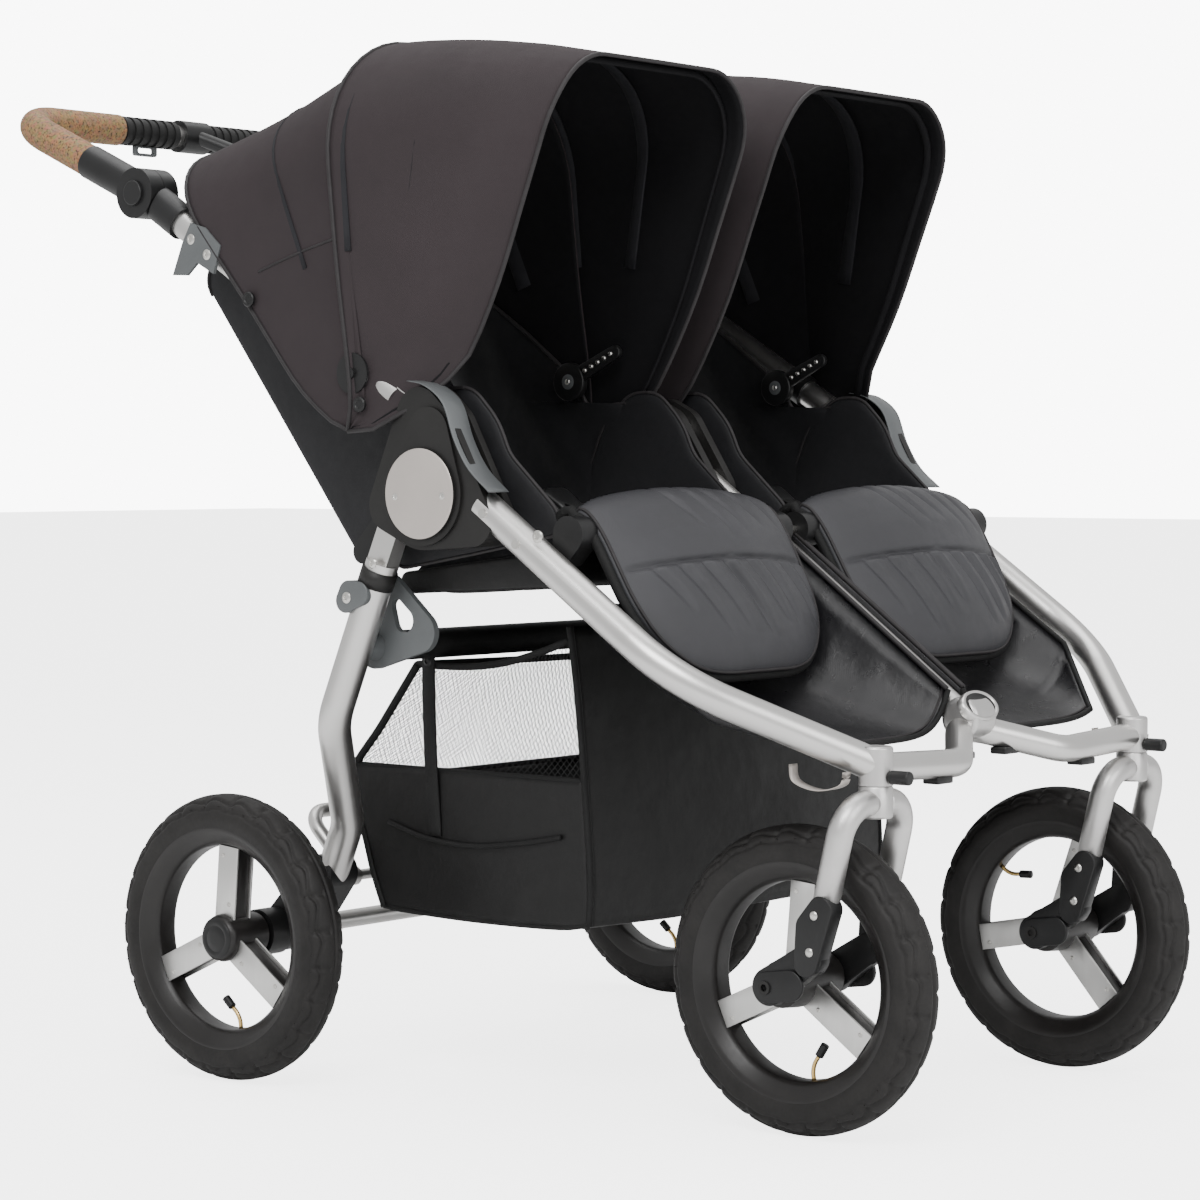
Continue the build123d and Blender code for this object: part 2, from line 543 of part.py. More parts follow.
# ---------------------------------------------------------------- wheels
def tyre(x, axle):
    """An air tyre, open at the bead, on a wheel centred at x."""
    ring = Ellipse(TYRE_HALF_DEPTH, TYRE_HALF_WIDTH)
    ring -= Ellipse(TYRE_HALF_DEPTH - TYRE_WALL, TYRE_HALF_WIDTH - TYRE_WALL)
    section = Pos(WHEEL_R - TYRE_HALF_DEPTH, 0) * ring
    section -= Pos(RIM_SEAT_R / 2, 0) * Rectangle(RIM_SEAT_R, 2 * TYRE_HALF_WIDTH)
    turned = revolve(section, Axis.Y)
    return Pos(x, *axle) * (Rot(0, 0, -90) * turned)


def wheel(x, axle, hub_in, hub_out):
    """Rim, three flat spokes and hub, turning on its axle."""
    rim = pin((0, 0), -RIM_HALF_WIDTH, RIM_HALF_WIDTH, RIM_SEAT_R)
    rim = fillet(rim.edges().filter_by(GeomType.CIRCLE), 2)
    rim -= pin((0, 0), -RIM_HALF_WIDTH, RIM_HALF_WIDTH, RIM_OPENING_R)
    body = rim + pin((0, 0), -hub_in, hub_out, 24)
    for i in range(3):
        bar = Rot(0, 0, 95 + 120 * i) * (Pos(RIM_OPENING_R / 2 + 6, 0) * Rectangle(RIM_OPENING_R, SPOKE_WIDTH))
        body += plate(bar, -SPOKE_HALF_DEPTH, SPOKE_HALF_DEPTH)
    return Pos(x, *axle) * body


rear_bore = pin((0, WHEEL_R), 0, REAR_WHEEL_X + 16.1, AXLE_R + RUNNING)
rear_wheel = wheel(REAR_WHEEL_X, (0, WHEEL_R), 34, 22) - rear_bore
front_wheel = wheel(CASTER_X, AXLE_FRONT, 38, 38) - pin(AXLE_FRONT, 0, 400, AXLE_R + RUNNING)
for side, turn in (("left", lambda s: s), ("right", flipped)):
    save(f"rear_wheel_{side}", turn(rear_wheel))
    save(f"front_wheel_{side}", turn(front_wheel))
    save(f"rear_tyre_{side}", turn(tyre(REAR_WHEEL_X, (0, WHEEL_R))))
    save(f"front_tyre_{side}", turn(tyre(CASTER_X, AXLE_FRONT)))
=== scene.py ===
import bpy
import bmesh
import random
from math import atan2, cos, exp, pi, radians, sin
from mathutils import Matrix, Vector, noise


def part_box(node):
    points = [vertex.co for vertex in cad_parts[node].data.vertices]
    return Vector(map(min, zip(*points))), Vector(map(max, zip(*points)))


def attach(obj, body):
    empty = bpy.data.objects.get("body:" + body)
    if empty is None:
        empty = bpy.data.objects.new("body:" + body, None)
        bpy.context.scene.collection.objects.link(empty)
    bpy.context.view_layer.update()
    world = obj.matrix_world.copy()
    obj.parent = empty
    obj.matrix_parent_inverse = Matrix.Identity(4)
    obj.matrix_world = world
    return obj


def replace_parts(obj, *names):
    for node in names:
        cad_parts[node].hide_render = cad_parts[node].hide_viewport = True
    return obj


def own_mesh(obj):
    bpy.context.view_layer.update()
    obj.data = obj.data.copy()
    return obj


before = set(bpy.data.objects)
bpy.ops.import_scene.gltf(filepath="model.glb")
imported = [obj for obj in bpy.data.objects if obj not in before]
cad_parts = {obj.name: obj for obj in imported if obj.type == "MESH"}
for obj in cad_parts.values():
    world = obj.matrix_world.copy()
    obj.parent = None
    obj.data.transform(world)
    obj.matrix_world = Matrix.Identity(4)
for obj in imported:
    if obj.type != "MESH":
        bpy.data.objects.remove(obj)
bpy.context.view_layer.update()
random.seed(7)
SIDES = ((1, "left"), (-1, "right"))


def middle(node):
    lo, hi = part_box(node)
    return (lo + hi) / 2


AXLE_Y = middle("rear_axle").y          # rear axle, the origin of the (y, z) dimensions below
AXLE_Z = middle("rear_axle").z


def P(x, y, z):
    """A point in metres from millimetres measured from the rear axle."""
    return Vector((x / 1000, y / 1000 + AXLE_Y, z / 1000))


# ------------------------------------------------------------------ materials
def nodes_of(name):
    """A new material, its node tree and its main shader."""
    mat = bpy.data.materials.new(name)
    mat.use_nodes = True
    tree = mat.node_tree
    return mat, tree, tree.nodes["Principled BSDF"]


def add(tree, kind, **values):
    """A shader node with its inputs or settings by name."""
    node = tree.nodes.new(kind)
    for key, value in values.items():
        if key in node.inputs:
            node.inputs[key].default_value = value
        else:
            setattr(node, key, value)
    return node


def stretched(tree, scale):
    """Object coordinates, scaled."""
    coord = add(tree, "ShaderNodeTexCoord")
    mapping = add(tree, "ShaderNodeMapping")
    mapping.inputs["Scale"].default_value = scale
    tree.links.new(coord.outputs["Object"], mapping.inputs["Vector"])
    return mapping.outputs["Vector"]


def textured(tree, kind, vector, **values):
    """A texture node fed with coordinates."""
    node = add(tree, kind, **values)
    tree.links.new(vector, node.inputs["Vector"])
    return node


def surface(name, color, rough, metal=0.0, vary=0.15, vary_scale=14.0, rough_vary=0.08, bumps=(),
            specular=0.5, stretch=(1, 1, 1)):
    """A procedural material with uneven colour and roughness; a bump is (texture, scale, metres)."""
    mat, tree, bsdf = nodes_of(name)
    vector = stretched(tree, stretch)
    patch = textured(tree, "ShaderNodeTexNoise", vector, Scale=vary_scale, Detail=6.0, Roughness=0.6)
    ramp = add(tree, "ShaderNodeValToRGB")
    ramp.color_ramp.elements[0].position = 0.3
    ramp.color_ramp.elements[1].position = 0.7
    ramp.color_ramp.elements[0].color = (*[c * (1 - vary) for c in color], 1)
    ramp.color_ramp.elements[1].color = (*[min(1, c * (1 + vary)) for c in color], 1)
    tree.links.new(patch.outputs["Fac"], ramp.inputs["Fac"])
    tree.links.new(ramp.outputs["Color"], bsdf.inputs["Base Color"])
    grain = textured(tree, "ShaderNodeTexNoise", vector, Scale=vary_scale * 9, Detail=4.0)
    spread = add(tree, "ShaderNodeMapRange")
    spread.inputs["To Min"].default_value = max(0.02, rough - rough_vary)
    spread.inputs["To Max"].default_value = min(1.0, rough + rough_vary)
    tree.links.new(grain.outputs["Fac"], spread.inputs["Value"])
    tree.links.new(spread.outputs["Result"], bsdf.inputs["Roughness"])
    bsdf.inputs["Metallic"].default_value = metal
    bsdf.inputs["Specular IOR Level"].default_value = specular
    normal = None
    for kind, scale, height in bumps:
        if kind == "noise":
            out = textured(tree, "ShaderNodeTexNoise", vector, Scale=scale, Detail=5.0).outputs["Fac"]
        else:
            crossed = add(tree, "ShaderNodeMath", operation="MULTIPLY")
            for way, factor in zip(("DIAGONAL", "Z"), crossed.inputs):
                wave = textured(tree, "ShaderNodeTexWave", vector, Scale=scale, bands_direction=way,
                                Distortion=0.6)
                tree.links.new(wave.outputs["Fac"], factor)
            out = crossed.outputs[0]
        bump = add(tree, "ShaderNodeBump", Distance=height, Strength=1.0)
        tree.links.new(out, bump.inputs["Height"])
        if normal is not None:
            tree.links.new(normal, bump.inputs["Normal"])
        normal = bump.outputs["Normal"]
    if normal is not None:
        tree.links.new(normal, bsdf.inputs["Normal"])
    return mat


M = {
    "silver": surface("satin_silver", (0.66, 0.65, 0.635), 0.34, 1.0, 0.04, 5.0, 0.05,
                      [("noise", 900, 0.00002)]),
    "cast_silver": surface("cast_silver", (0.62, 0.61, 0.6), 0.42, 1.0, 0.07, 30.0, 0.08,
                           [("noise", 260, 0.00008)]),
    "brushed": surface("brushed_plate", (0.67, 0.665, 0.65), 0.4, 1.0, 0.05, 60.0, 0.06,
                       [("noise", 500, 0.00004)], stretch=(1, 1, 0.12)),
    "screw": surface("zinc_screw", (0.62, 0.61, 0.58), 0.3, 1.0, 0.1, 90.0, 0.08, [("noise", 700, 0.00003)]),
    "brass": surface("brass_stem", (0.72, 0.5, 0.2), 0.3, 1.0, 0.12, 90.0, 0.08, [("noise", 600, 0.00003)]),
    "grey_metal": surface("grey_coated_metal", (0.105, 0.112, 0.115), 0.45, 0.2, 0.08, 20.0, 0.06,
                          [("noise", 900, 0.00004)]),
    "black_plastic": surface("black_moulding", (0.009, 0.009, 0.0093), 0.4, 0.0, 0.2, 25.0, 0.08,
                             [("noise", 1300, 0.00004)], specular=0.35),
    "hub_plastic": surface("hub_moulding", (0.010, 0.0095, 0.009), 0.48, 0.0, 0.2, 25.0, 0.08,
                           [("noise", 1500, 0.00006)], specular=0.35),
    "badge": surface("warm_grey_disc", (0.46, 0.42, 0.39), 0.38, 0.25, 0.04, 20.0, 0.04,
                     [("noise", 1200, 0.00003)]),
    "rim": surface("black_rim", (0.011, 0.0098, 0.0094), 0.36, 0.0, 0.25, 18.0, 0.08,
                   [("noise", 700, 0.00005)], specular=0.4),
    "tyre": surface("tyre_rubber", (0.0125, 0.0115, 0.011), 0.6, 0.0, 0.3, 30.0, 0.12,
                    [("noise", 500, 0.00012), ("noise", 60, 0.0002)], specular=0.3),
    "grip": surface("grip_rubber", (0.009, 0.009, 0.009), 0.58, 0.0, 0.25, 40.0, 0.1,
                    [("noise", 900, 0.00008)], specular=0.35),
    "canopy": surface("canopy_twill", (0.034, 0.0275, 0.0295), 0.8, 0.0, 0.1, 6.0, 0.08,
                      [("weave", 420, 0.00009), ("noise", 900, 0.00008), ("noise", 9, 0.0012)],
                      specular=0.15),
    "lining": surface("black_lining", (0.0075, 0.0073, 0.0083), 0.8, 0.0, 0.2, 8.0, 0.08,
                      [("weave", 420, 0.0001), ("noise", 14, 0.0012)], specular=0.15),
    "channel": surface("bow_channel_cloth", (0.017, 0.017, 0.0195), 0.75, 0.0, 0.2, 12.0, 0.08,
                       [("weave", 420, 0.0001), ("noise", 30, 0.0008)], specular=0.2),
    "piping": surface("piping_cord", (0.022, 0.02, 0.021), 0.6, 0.0, 0.2, 60.0, 0.08,
                      [("noise", 1200, 0.00008)], specular=0.3),
    "seat": surface("seat_cloth", (0.0105, 0.0105, 0.012), 0.6, 0.0, 0.2, 9.0, 0.1,
                    [("weave", 420, 0.0001), ("noise", 26, 0.0016)], specular=0.3),
    "quilt": surface("quilted_cloth", (0.036, 0.036, 0.04), 0.5, 0.0, 0.12, 9.0, 0.1,
                     [("weave", 520, 0.00008), ("noise", 26, 0.0009)], specular=0.4),
    "gloss_cloth": surface("glossy_black_cloth", (0.0075, 0.0072, 0.0085), 0.3, 0.0, 0.25, 7.0, 0.1,
                           [("weave", 520, 0.00006), ("noise", 13, 0.003)], specular=0.4),
    "basket": surface("basket_cloth", (0.0058, 0.0056, 0.0056), 0.42, 0.0, 0.25, 7.0, 0.1,
                      [("weave", 420, 0.0001), ("noise", 11, 0.004)], specular=0.3),
    "net": surface("basket_net", (0.008, 0.008, 0.008), 0.6, 0.0, 0.2, 60.0, 0.1, [("noise", 900, 0.0001)]),
    "webbing": surface("black_webbing", (0.007, 0.007, 0.007), 0.65, 0.0, 0.2, 60.0, 0.1,
                       [("weave", 900, 0.00015)], specular=0.3),
    "floor": surface("pale_floor", (0.95, 0.95, 0.95), 0.7, 0.0, 0.01, 2.0, 0.03, [("noise", 60, 0.0001)]),
}


def cork_material():
    mat, tree, bsdf = nodes_of("natural_cork")
    vector = stretched(tree, (1, 1, 1))
    cells = textured(tree, "ShaderNodeTexVoronoi", vector, Scale=260.0)
    specks = textured(tree, "ShaderNodeTexNoise", vector, Scale=420.0, Detail=5.0)
    ramp = add(tree, "ShaderNodeValToRGB")
    ramp.color_ramp.elements[0].position = 0.32
    ramp.color_ramp.elements[0].color = (0.05, 0.026, 0.012, 1)
    ramp.color_ramp.elements[1].position = 0.5
    ramp.color_ramp.elements[1].color = (0.33, 0.185, 0.085, 1)
    tree.links.new(specks.outputs["Fac"], ramp.inputs["Fac"])
    tint = add(tree, "ShaderNodeMix", data_type="RGBA", blend_type="MULTIPLY")
    tint.inputs["Factor"].default_value = 0.35
    tree.links.new(ramp.outputs["Color"], tint.inputs["A"])
    tree.links.new(cells.outputs["Color"], tint.inputs["B"])
    tree.links.new(tint.outputs["Result"], bsdf.inputs["Base Color"])
    bump = add(tree, "ShaderNodeBump", Distance=0.0003, Strength=1.0)
    tree.links.new(specks.outputs["Fac"], bump.inputs["Height"])
    tree.links.new(bump.outputs["Normal"], bsdf.inputs["Normal"])
    bsdf.inputs["Roughness"].default_value = 0.7
    return mat


M["cork"] = cork_material()

CAD_LOOK = {
    "silver": ["down_tubes", "front_cross_tube", "centre_tube", "uprights", "centre_upright", "handlebar",
               "rear_legs", "rear_axle", "brake_rod", "brake_pedal"],
    "cast_silver": ["head_tubes", "crest_bracket"],
    "screw": ["frame_screws", "hinge_rods"],
    "hub_plastic": ["fold_hubs", "hub_covers", "centre_hub"],
    "black_plastic": ["seat_brackets", "tilt_clamps_lower", "tilt_clamps_upper", "canopy_mounts",
                      "centre_yoke", "axle_brackets", "canopy_ratchets_left", "canopy_ratchets_right",
                      "tilt_button_left", "tilt_button_right", "swivel_lock_left", "swivel_lock_right"],
    "grey_metal": ["strap_loop", "hook_plates", "fold_latch_left", "fold_latch_right", "crossbar"],
    "cork": ["cork_grips"],
    "grip": ["ribbed_grips"],
}
for look, names in CAD_LOOK.items():
    for name in names:
        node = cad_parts[name]
        node.data.materials.clear()
        node.data.materials.append(M[look])


# ------------------------------------------------------------------ mesh helpers
def piece(name, verts, faces, look, body=None, flip=False):
    """A new mesh object from points and faces."""
    mesh = bpy.data.meshes.new(name)
    mesh.from_pydata([tuple(v) for v in verts], [], [tuple(reversed(f)) if flip else f for f in faces])
    mesh.update()
    obj = bpy.data.objects.new(name, mesh)
    bpy.context.collection.objects.link(obj)
    looks = [look] if isinstance(look, str) else look
    for one in looks:
        mesh.materials.append(M[one])
    for poly in mesh.polygons:
        poly.use_smooth = True
    if body:
        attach(obj, body)
    return obj


def settle(obj):
    """Apply every modifier."""
    graph = bpy.context.evaluated_depsgraph_get()
    obj.data = bpy.data.meshes.new_from_object(obj.evaluated_get(graph))
    obj.modifiers.clear()
    return obj


def modified(obj, *mods):
    """Add modifiers, each (kind, settings), and apply them."""
    for kind, values in mods:
        mod = obj.modifiers.new(kind.lower(), kind)
        for key, value in values.items():
            setattr(mod, key, value)
    return settle(obj)


def cleaned(obj, merge=None):
    """Merge points closer than a distance in metres, and turn every face outwards."""
    mesh = bmesh.new()
    mesh.from_mesh(obj.data)
    if merge:
        bmesh.ops.remove_doubles(mesh, verts=mesh.verts, dist=merge)
    bmesh.ops.recalc_face_normals(mesh, faces=mesh.faces)
    mesh.to_mesh(obj.data)
    mesh.free()
    return obj


def thicken(obj, thickness, inner_slot=0):
    """Give an open sheet its thickness, inwards."""
    return modified(obj, ("SOLIDIFY", {"thickness": thickness, "offset": -1.0, "use_even_offset": False,
                                       "material_offset": inner_slot, "material_offset_rim": 0}))


def grid_faces(rows, columns, wrap_columns=False):
    """Faces between rows of equally many points."""
    faces = []
    last = columns if wrap_columns else columns - 1
    for i in range(rows - 1):
        for j in range(last):
            k = (j + 1) % columns
            faces.append((i * columns + j, i * columns + k, (i + 1) * columns + k, (i + 1) * columns + j))
    return faces


def spline(points, count):
    """Points evenly spaced along a smooth curve through the given points (2-D or 3-D)."""
    pts = [Vector((*p, 0)) if len(p) == 2 else Vector(p) for p in points]
    ext = [2 * pts[0] - pts[1], *pts, 2 * pts[-1] - pts[-2]]
    fine = []
    steps = 24
    for i in range(1, len(ext) - 2):
        a, b, c, d = ext[i - 1:i + 3]
        for k in range(steps):
            t = k / steps
            fine.append(0.5 * ((2 * b) + (c - a) * t + (2 * a - 5 * b + 4 * c - d) * t * t
                               + (3 * b - a - 3 * c + d) * t ** 3))
    fine.append(pts[-1])
    lengths = [0.0]
    for a, b in zip(fine, fine[1:]):
        lengths.append(lengths[-1] + (b - a).length)
    out = []
    j = 0
    for i in range(count):
        want = lengths[-1] * i / (count - 1)
        while j < len(lengths) - 2 and lengths[j + 1] < want:
            j += 1
        span = lengths[j + 1] - lengths[j]
        t = (want - lengths[j]) / span if span > 1e-12 else 0
        out.append(fine[j].lerp(fine[j + 1], min(1, max(0, t))))
    return out


def at(curve, t):
    """The point at share t of an evenly spaced curve."""
    x = min(max(t, 0), 1) * (len(curve) - 1)
    i = min(int(x), len(curve) - 2)
    return curve[i].lerp(curve[i + 1], x - i)


def frames_along(points):
    """A direction, a side and an up vector at each point, without twist."""
    out = []
    up = None
    for i, p in enumerate(points):
        ahead = points[min(i + 1, len(points) - 1)]
        back = points[max(i - 1, 0)]
        direction = (ahead - back).normalized()
        if up is None:
            up = direction.orthogonal().normalized()
        up = (up - direction * up.dot(direction)).normalized()
        out.append((direction, direction.cross(up).normalized(), up))
    return out


def pipe(name, points, radius, look, body=None, sides=8, flat=1.0):
    """A round cord or tube along points, with closed ends."""
    verts, faces = [], []
    for p, (_, side, up) in zip(points, frames_along(points)):
        for k in range(sides):
            a = 2 * pi * k / sides
            verts.append(p + (side * cos(a) + up * sin(a) * flat) * radius)
    faces = grid_faces(len(points), sides, True)
    faces.append(tuple(reversed(range(sides))))
    faces.append(tuple(range(len(verts) - sides, len(verts))))
    return piece(name, verts, faces, look, body)


def ribbon(name, points, normal_of, width, thickness, look, body=None):
    """A flat strap along points; normal_of gives the direction that its face looks at each point."""
    verts = []
    for i, p in enumerate(points):
        ahead = points[min(i + 1, len(points) - 1)] - points[max(i - 1, 0)]
        face = normal_of(i, p).normalized()
        side = ahead.cross(face).normalized()
        for u, v in ((-1, -0.5), (-0.92, 0.5), (0, 0.62), (0.92, 0.5), (1, -0.5), (0, -0.5)):
            verts.append(p + side * (u * width / 2) + face * (v * thickness))
    faces = grid_faces(len(points), 6, True)
    faces.append(tuple(reversed(range(6))))
    faces.append(tuple(range(len(verts) - 6, len(verts))))
    return piece(name, verts, faces, look, body)


def lathe(name, profile, centre, look, body=None, axis="X", steps=48, closed=False, way=1):
    """A turned shape: profile is (distance along the axis, radius) in millimetres; way -1 faces it back."""
    turn = Matrix.Rotation(-pi / 2, 3, "Y") if axis == "Z" else Matrix.Identity(3)
    verts = []
    for k in range(steps):
        a = 2 * pi * k / steps
        for along, radius in profile:
            verts.append(centre + turn @ Vector((way * along, radius * cos(a), radius * sin(a))) / 1000)
    n = len(profile)
    faces = []
    for k in range(steps):
        nxt = (k + 1) % steps
        for j in range(n if closed else n - 1):
            m = (j + 1) % n
            faces.append((k * n + j, k * n + m, nxt * n + m, nxt * n + j))
    obj = piece(name, verts, faces, look)
    cleaned(obj, 1e-6)
    sharpen(obj)
    if body:
        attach(obj, body)
    return obj


def sharpen(obj, angle=40):
    """Smooth shading with crisp corners."""
    mesh = bmesh.new()
    mesh.from_mesh(obj.data)
    for face in mesh.faces:
        face.smooth = True
    for edge in mesh.edges:
        if len(edge.link_faces) == 2 and edge.calc_face_angle(0) > radians(angle):
            edge.smooth = False
    mesh.to_mesh(obj.data)
    mesh.free()
    return obj


def prism(name, near, far, look, bevel):
    """A solid between two outlines of as many points, with edges eased by a bevel in millimetres."""
    n = len(near)
    faces = [tuple(range(n)), tuple(reversed(range(n, 2 * n)))]
    faces += [((k + 1) % n, k, n + k, n + (k + 1) % n) for k in range(n)]
    obj = cleaned(piece(name, near + far, faces, look))
    modified(obj, ("BEVEL", {"width": bevel / 1000, "segments": 2, "limit_method": "ANGLE"}))
    return sharpen(obj, 50)


def slab(name, outline, x0, x1, look, body=None, bevel=0.8):
    """A flat piece with an outline in (y, z) millimetres between two x positions, with eased edges."""
    near, far = ([P(x, y, z) for y, z in outline] for x in sorted((x0, x1)))
    obj = prism(name, near, far, look, bevel)
    if body:
        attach(obj, body)
    return obj


def join(name, objects, body=None):
    """Several meshes as one piece."""
    mesh = bmesh.new()
    looks = []
    for obj in objects:
        start = len(mesh.faces)
        copy = obj.data.copy()
        copy.transform(obj.matrix_world)
        mesh.from_mesh(copy)
        mesh.faces.ensure_lookup_table()
        table = []
        for mat in obj.data.materials:
            if mat not in looks:
                looks.append(mat)
            table.append(looks.index(mat))
        for face in mesh.faces[start:]:
            face.material_index = table[min(face.material_index, len(table) - 1)]
        bpy.data.objects.remove(obj)
    data = bpy.data.meshes.new(name)
    mesh.to_mesh(data)
    mesh.free()
    for mat in looks:
        data.materials.append(mat)
    out = bpy.data.objects.new(name, data)
    bpy.context.collection.objects.link(out)
    if body:
        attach(out, body)
    return out


def rounded(points, radii, steps=6):
    """A closed outline with rounded corners."""
    out = []
    n = len(points)
    for i in range(n):
        p = Vector(points[i])
        a, b = Vector(points[i - 1]) - p, Vector(points[(i + 1) % n]) - p
        r = radii[i] if isinstance(radii, (list, tuple)) else radii
        cut = min(r, a.length * 0.48, b.length * 0.48)
        start, end = p + a.normalized() * cut, p + b.normalized() * cut
        for k in range(steps + 1):
            t = k / steps
            out.append((1 - t) ** 2 * start + 2 * t * (1 - t) * p + t * t * end)
    return out


def even_outline(points, count):
    """The same closed outline with evenly spaced points."""
    loop = [Vector((*p, 0)) for p in points] + [Vector((*points[0], 0))]
    lengths = [0.0]
    for a, b in zip(loop, loop[1:]):
        lengths.append(lengths[-1] + (b - a).length)
    out = []
    j = 0
    for i in range(count):
        want = lengths[-1] * i / count
        while lengths[j + 1] < want:
            j += 1
        span = lengths[j + 1] - lengths[j]
        out.append(loop[j].lerp(loop[j + 1], (want - lengths[j]) / span if span else 0))
    return [Vector((p.x, p.y)) for p in out]


def pad(name, outline, place, thickness, look, body=None, rings=16, count=96, relief=None, edge=4.0,
        back=1.0):
    """A crowned closed cushion. outline is in millimetres, place(u, v, h) puts a point in the row frame, and
    relief(u, v) adds a height in millimetres on the front."""
    outline = even_outline(outline, count)
    centre = sum(outline, Vector((0, 0))) / count
    verts, faces = [], []
    for sign in (1, -1):
        for i in range(rings + 1):
            rho = 1 - (i / rings) ** 1.25
            height = thickness / 2 * (1 - max(rho, 0) ** edge) ** 0.5
            for p in outline:
                q = centre + (p - centre) * rho
                h = height * (1 if sign > 0 else back)
                if relief and sign > 0 and i:
                    h += relief(q.x, q.y) * min(1, i / 2)
                verts.append(place(q.x, q.y, sign * h))
    ring = count
    half = (rings + 1) * ring
    for i in range(rings):
        for j in range(ring):
            k = (j + 1) % ring
            faces.append((i * ring + j, i * ring + k, (i + 1) * ring + k, (i + 1) * ring + j))
            faces.append((half + i * ring + k, half + i * ring + j, half + (i + 1) * ring + j,
                          half + (i + 1) * ring + k))
    obj = piece(name, verts, faces, look)
    cleaned(obj, 2e-5)
    for poly in obj.data.polygons:
        poly.use_smooth = True
    if body:
        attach(obj, body)
    return obj


def groove(distance, width, depth):
    """How far a seam at a distance sinks the cloth."""
    return -depth * exp(-(distance / width) ** 2)


# ------------------------------------------------------------------ wheels
def detailed_tyre(name, centre, body):
    """Air tyre with a scalloped tread; no wider or higher than its CAD ring."""
    around, across = 480, 76
    verts = []
    for k in range(around):
        a = 2 * pi * k / around
        for j in range(across):
            t = 2 * j / (across - 1) - 1
            phi = radians(142 * t * (0.52 + 0.48 * abs(t)))
            side = abs(phi)
            lobe = 0.5 + 0.5 * cos(24 * a + (0.9 if phi > 0 else -0.9) * side * 3)
            edge = 0.62 + 0.22 * lobe
            drop = 0.0
            if side < 1.3:
                drop += 2.4 * exp(-((side - edge) / 0.07) ** 2)
                drop += 2.0 * exp(-((side - 1.12 - 0.1 * lobe) / 0.06) ** 2)
                drop += 1.8 * exp(-(phi / 0.065) ** 2)
                cross = abs(((24 * a / (2 * pi) + 0.5 * (phi > 0)) % 1.0) - 0.5)
                drop += 1.9 * exp(-(cross / 0.07) ** 2) * (0.2 < side < 1.15)
            if side > 1.35:
                drop -= 0.25 * exp(-((side - 1.62) / 0.05) ** 2)
            depth, half = 23.7 - drop, 24.6 - drop * 0.8
            r = 146.0 - 23.8 + depth * cos(phi)
            verts.append(centre + Vector((half * sin(phi), r * cos(a), r * sin(a))) / 1000)
    faces = []
    for k in range(around):
        nxt = (k + 1) % around
        for j in range(across - 1):
            faces.append((k * across + j, nxt * across + j, nxt * across + j + 1, k * across + j + 1))
    tyre_obj = piece(name + "_skin", verts, faces, "tyre")
    nibs = []
    for k in range(44):
        a = 2 * pi * (k + 0.3 * random.random()) / 44
        for sign in (1, -1):
            phi = radians(58 + 6 * random.random()) * sign
            out = Vector((sin(phi), cos(phi) * cos(a), cos(phi) * sin(a)))
            base = centre + Vector((24.3 * sin(phi), (122.2 + 23.4 * cos(phi)) * cos(a),
                                    (122.2 + 23.4 * cos(phi)) * sin(a))) / 1000
            lean = Vector((0, -sin(a), cos(a))) * (random.random() - 0.5)
            nib = [base - out * 0.0004, base + (out + lean * 0.6) * 0.0022]
            nibs.append(pipe("nib", nib, 0.00035, "tyre", sides=4))
    return join(name, [tyre_obj, *nibs], body)


SPOKE_SCREW = [(0, 0), (0, 2.4), (0.5, 2.2), (0.9, 1.2), (0.5, 0.6), (0.5, 0)]
HUB_CAP = [(22, 0), (22, 20), (23.4, 18.6), (23.8, 15), (22.9, 13.6), (22.9, 12.6), (23.6, 11.6), (23.9, 6),
           (24, 0)]
RIM_HALF = [(-20, 109), (-21.6, 113), (-22.4, 112.5), (-22.6, 110), (-20, 106), (-15, 98), (-11, 94.2),
            (-8, 93.5)]


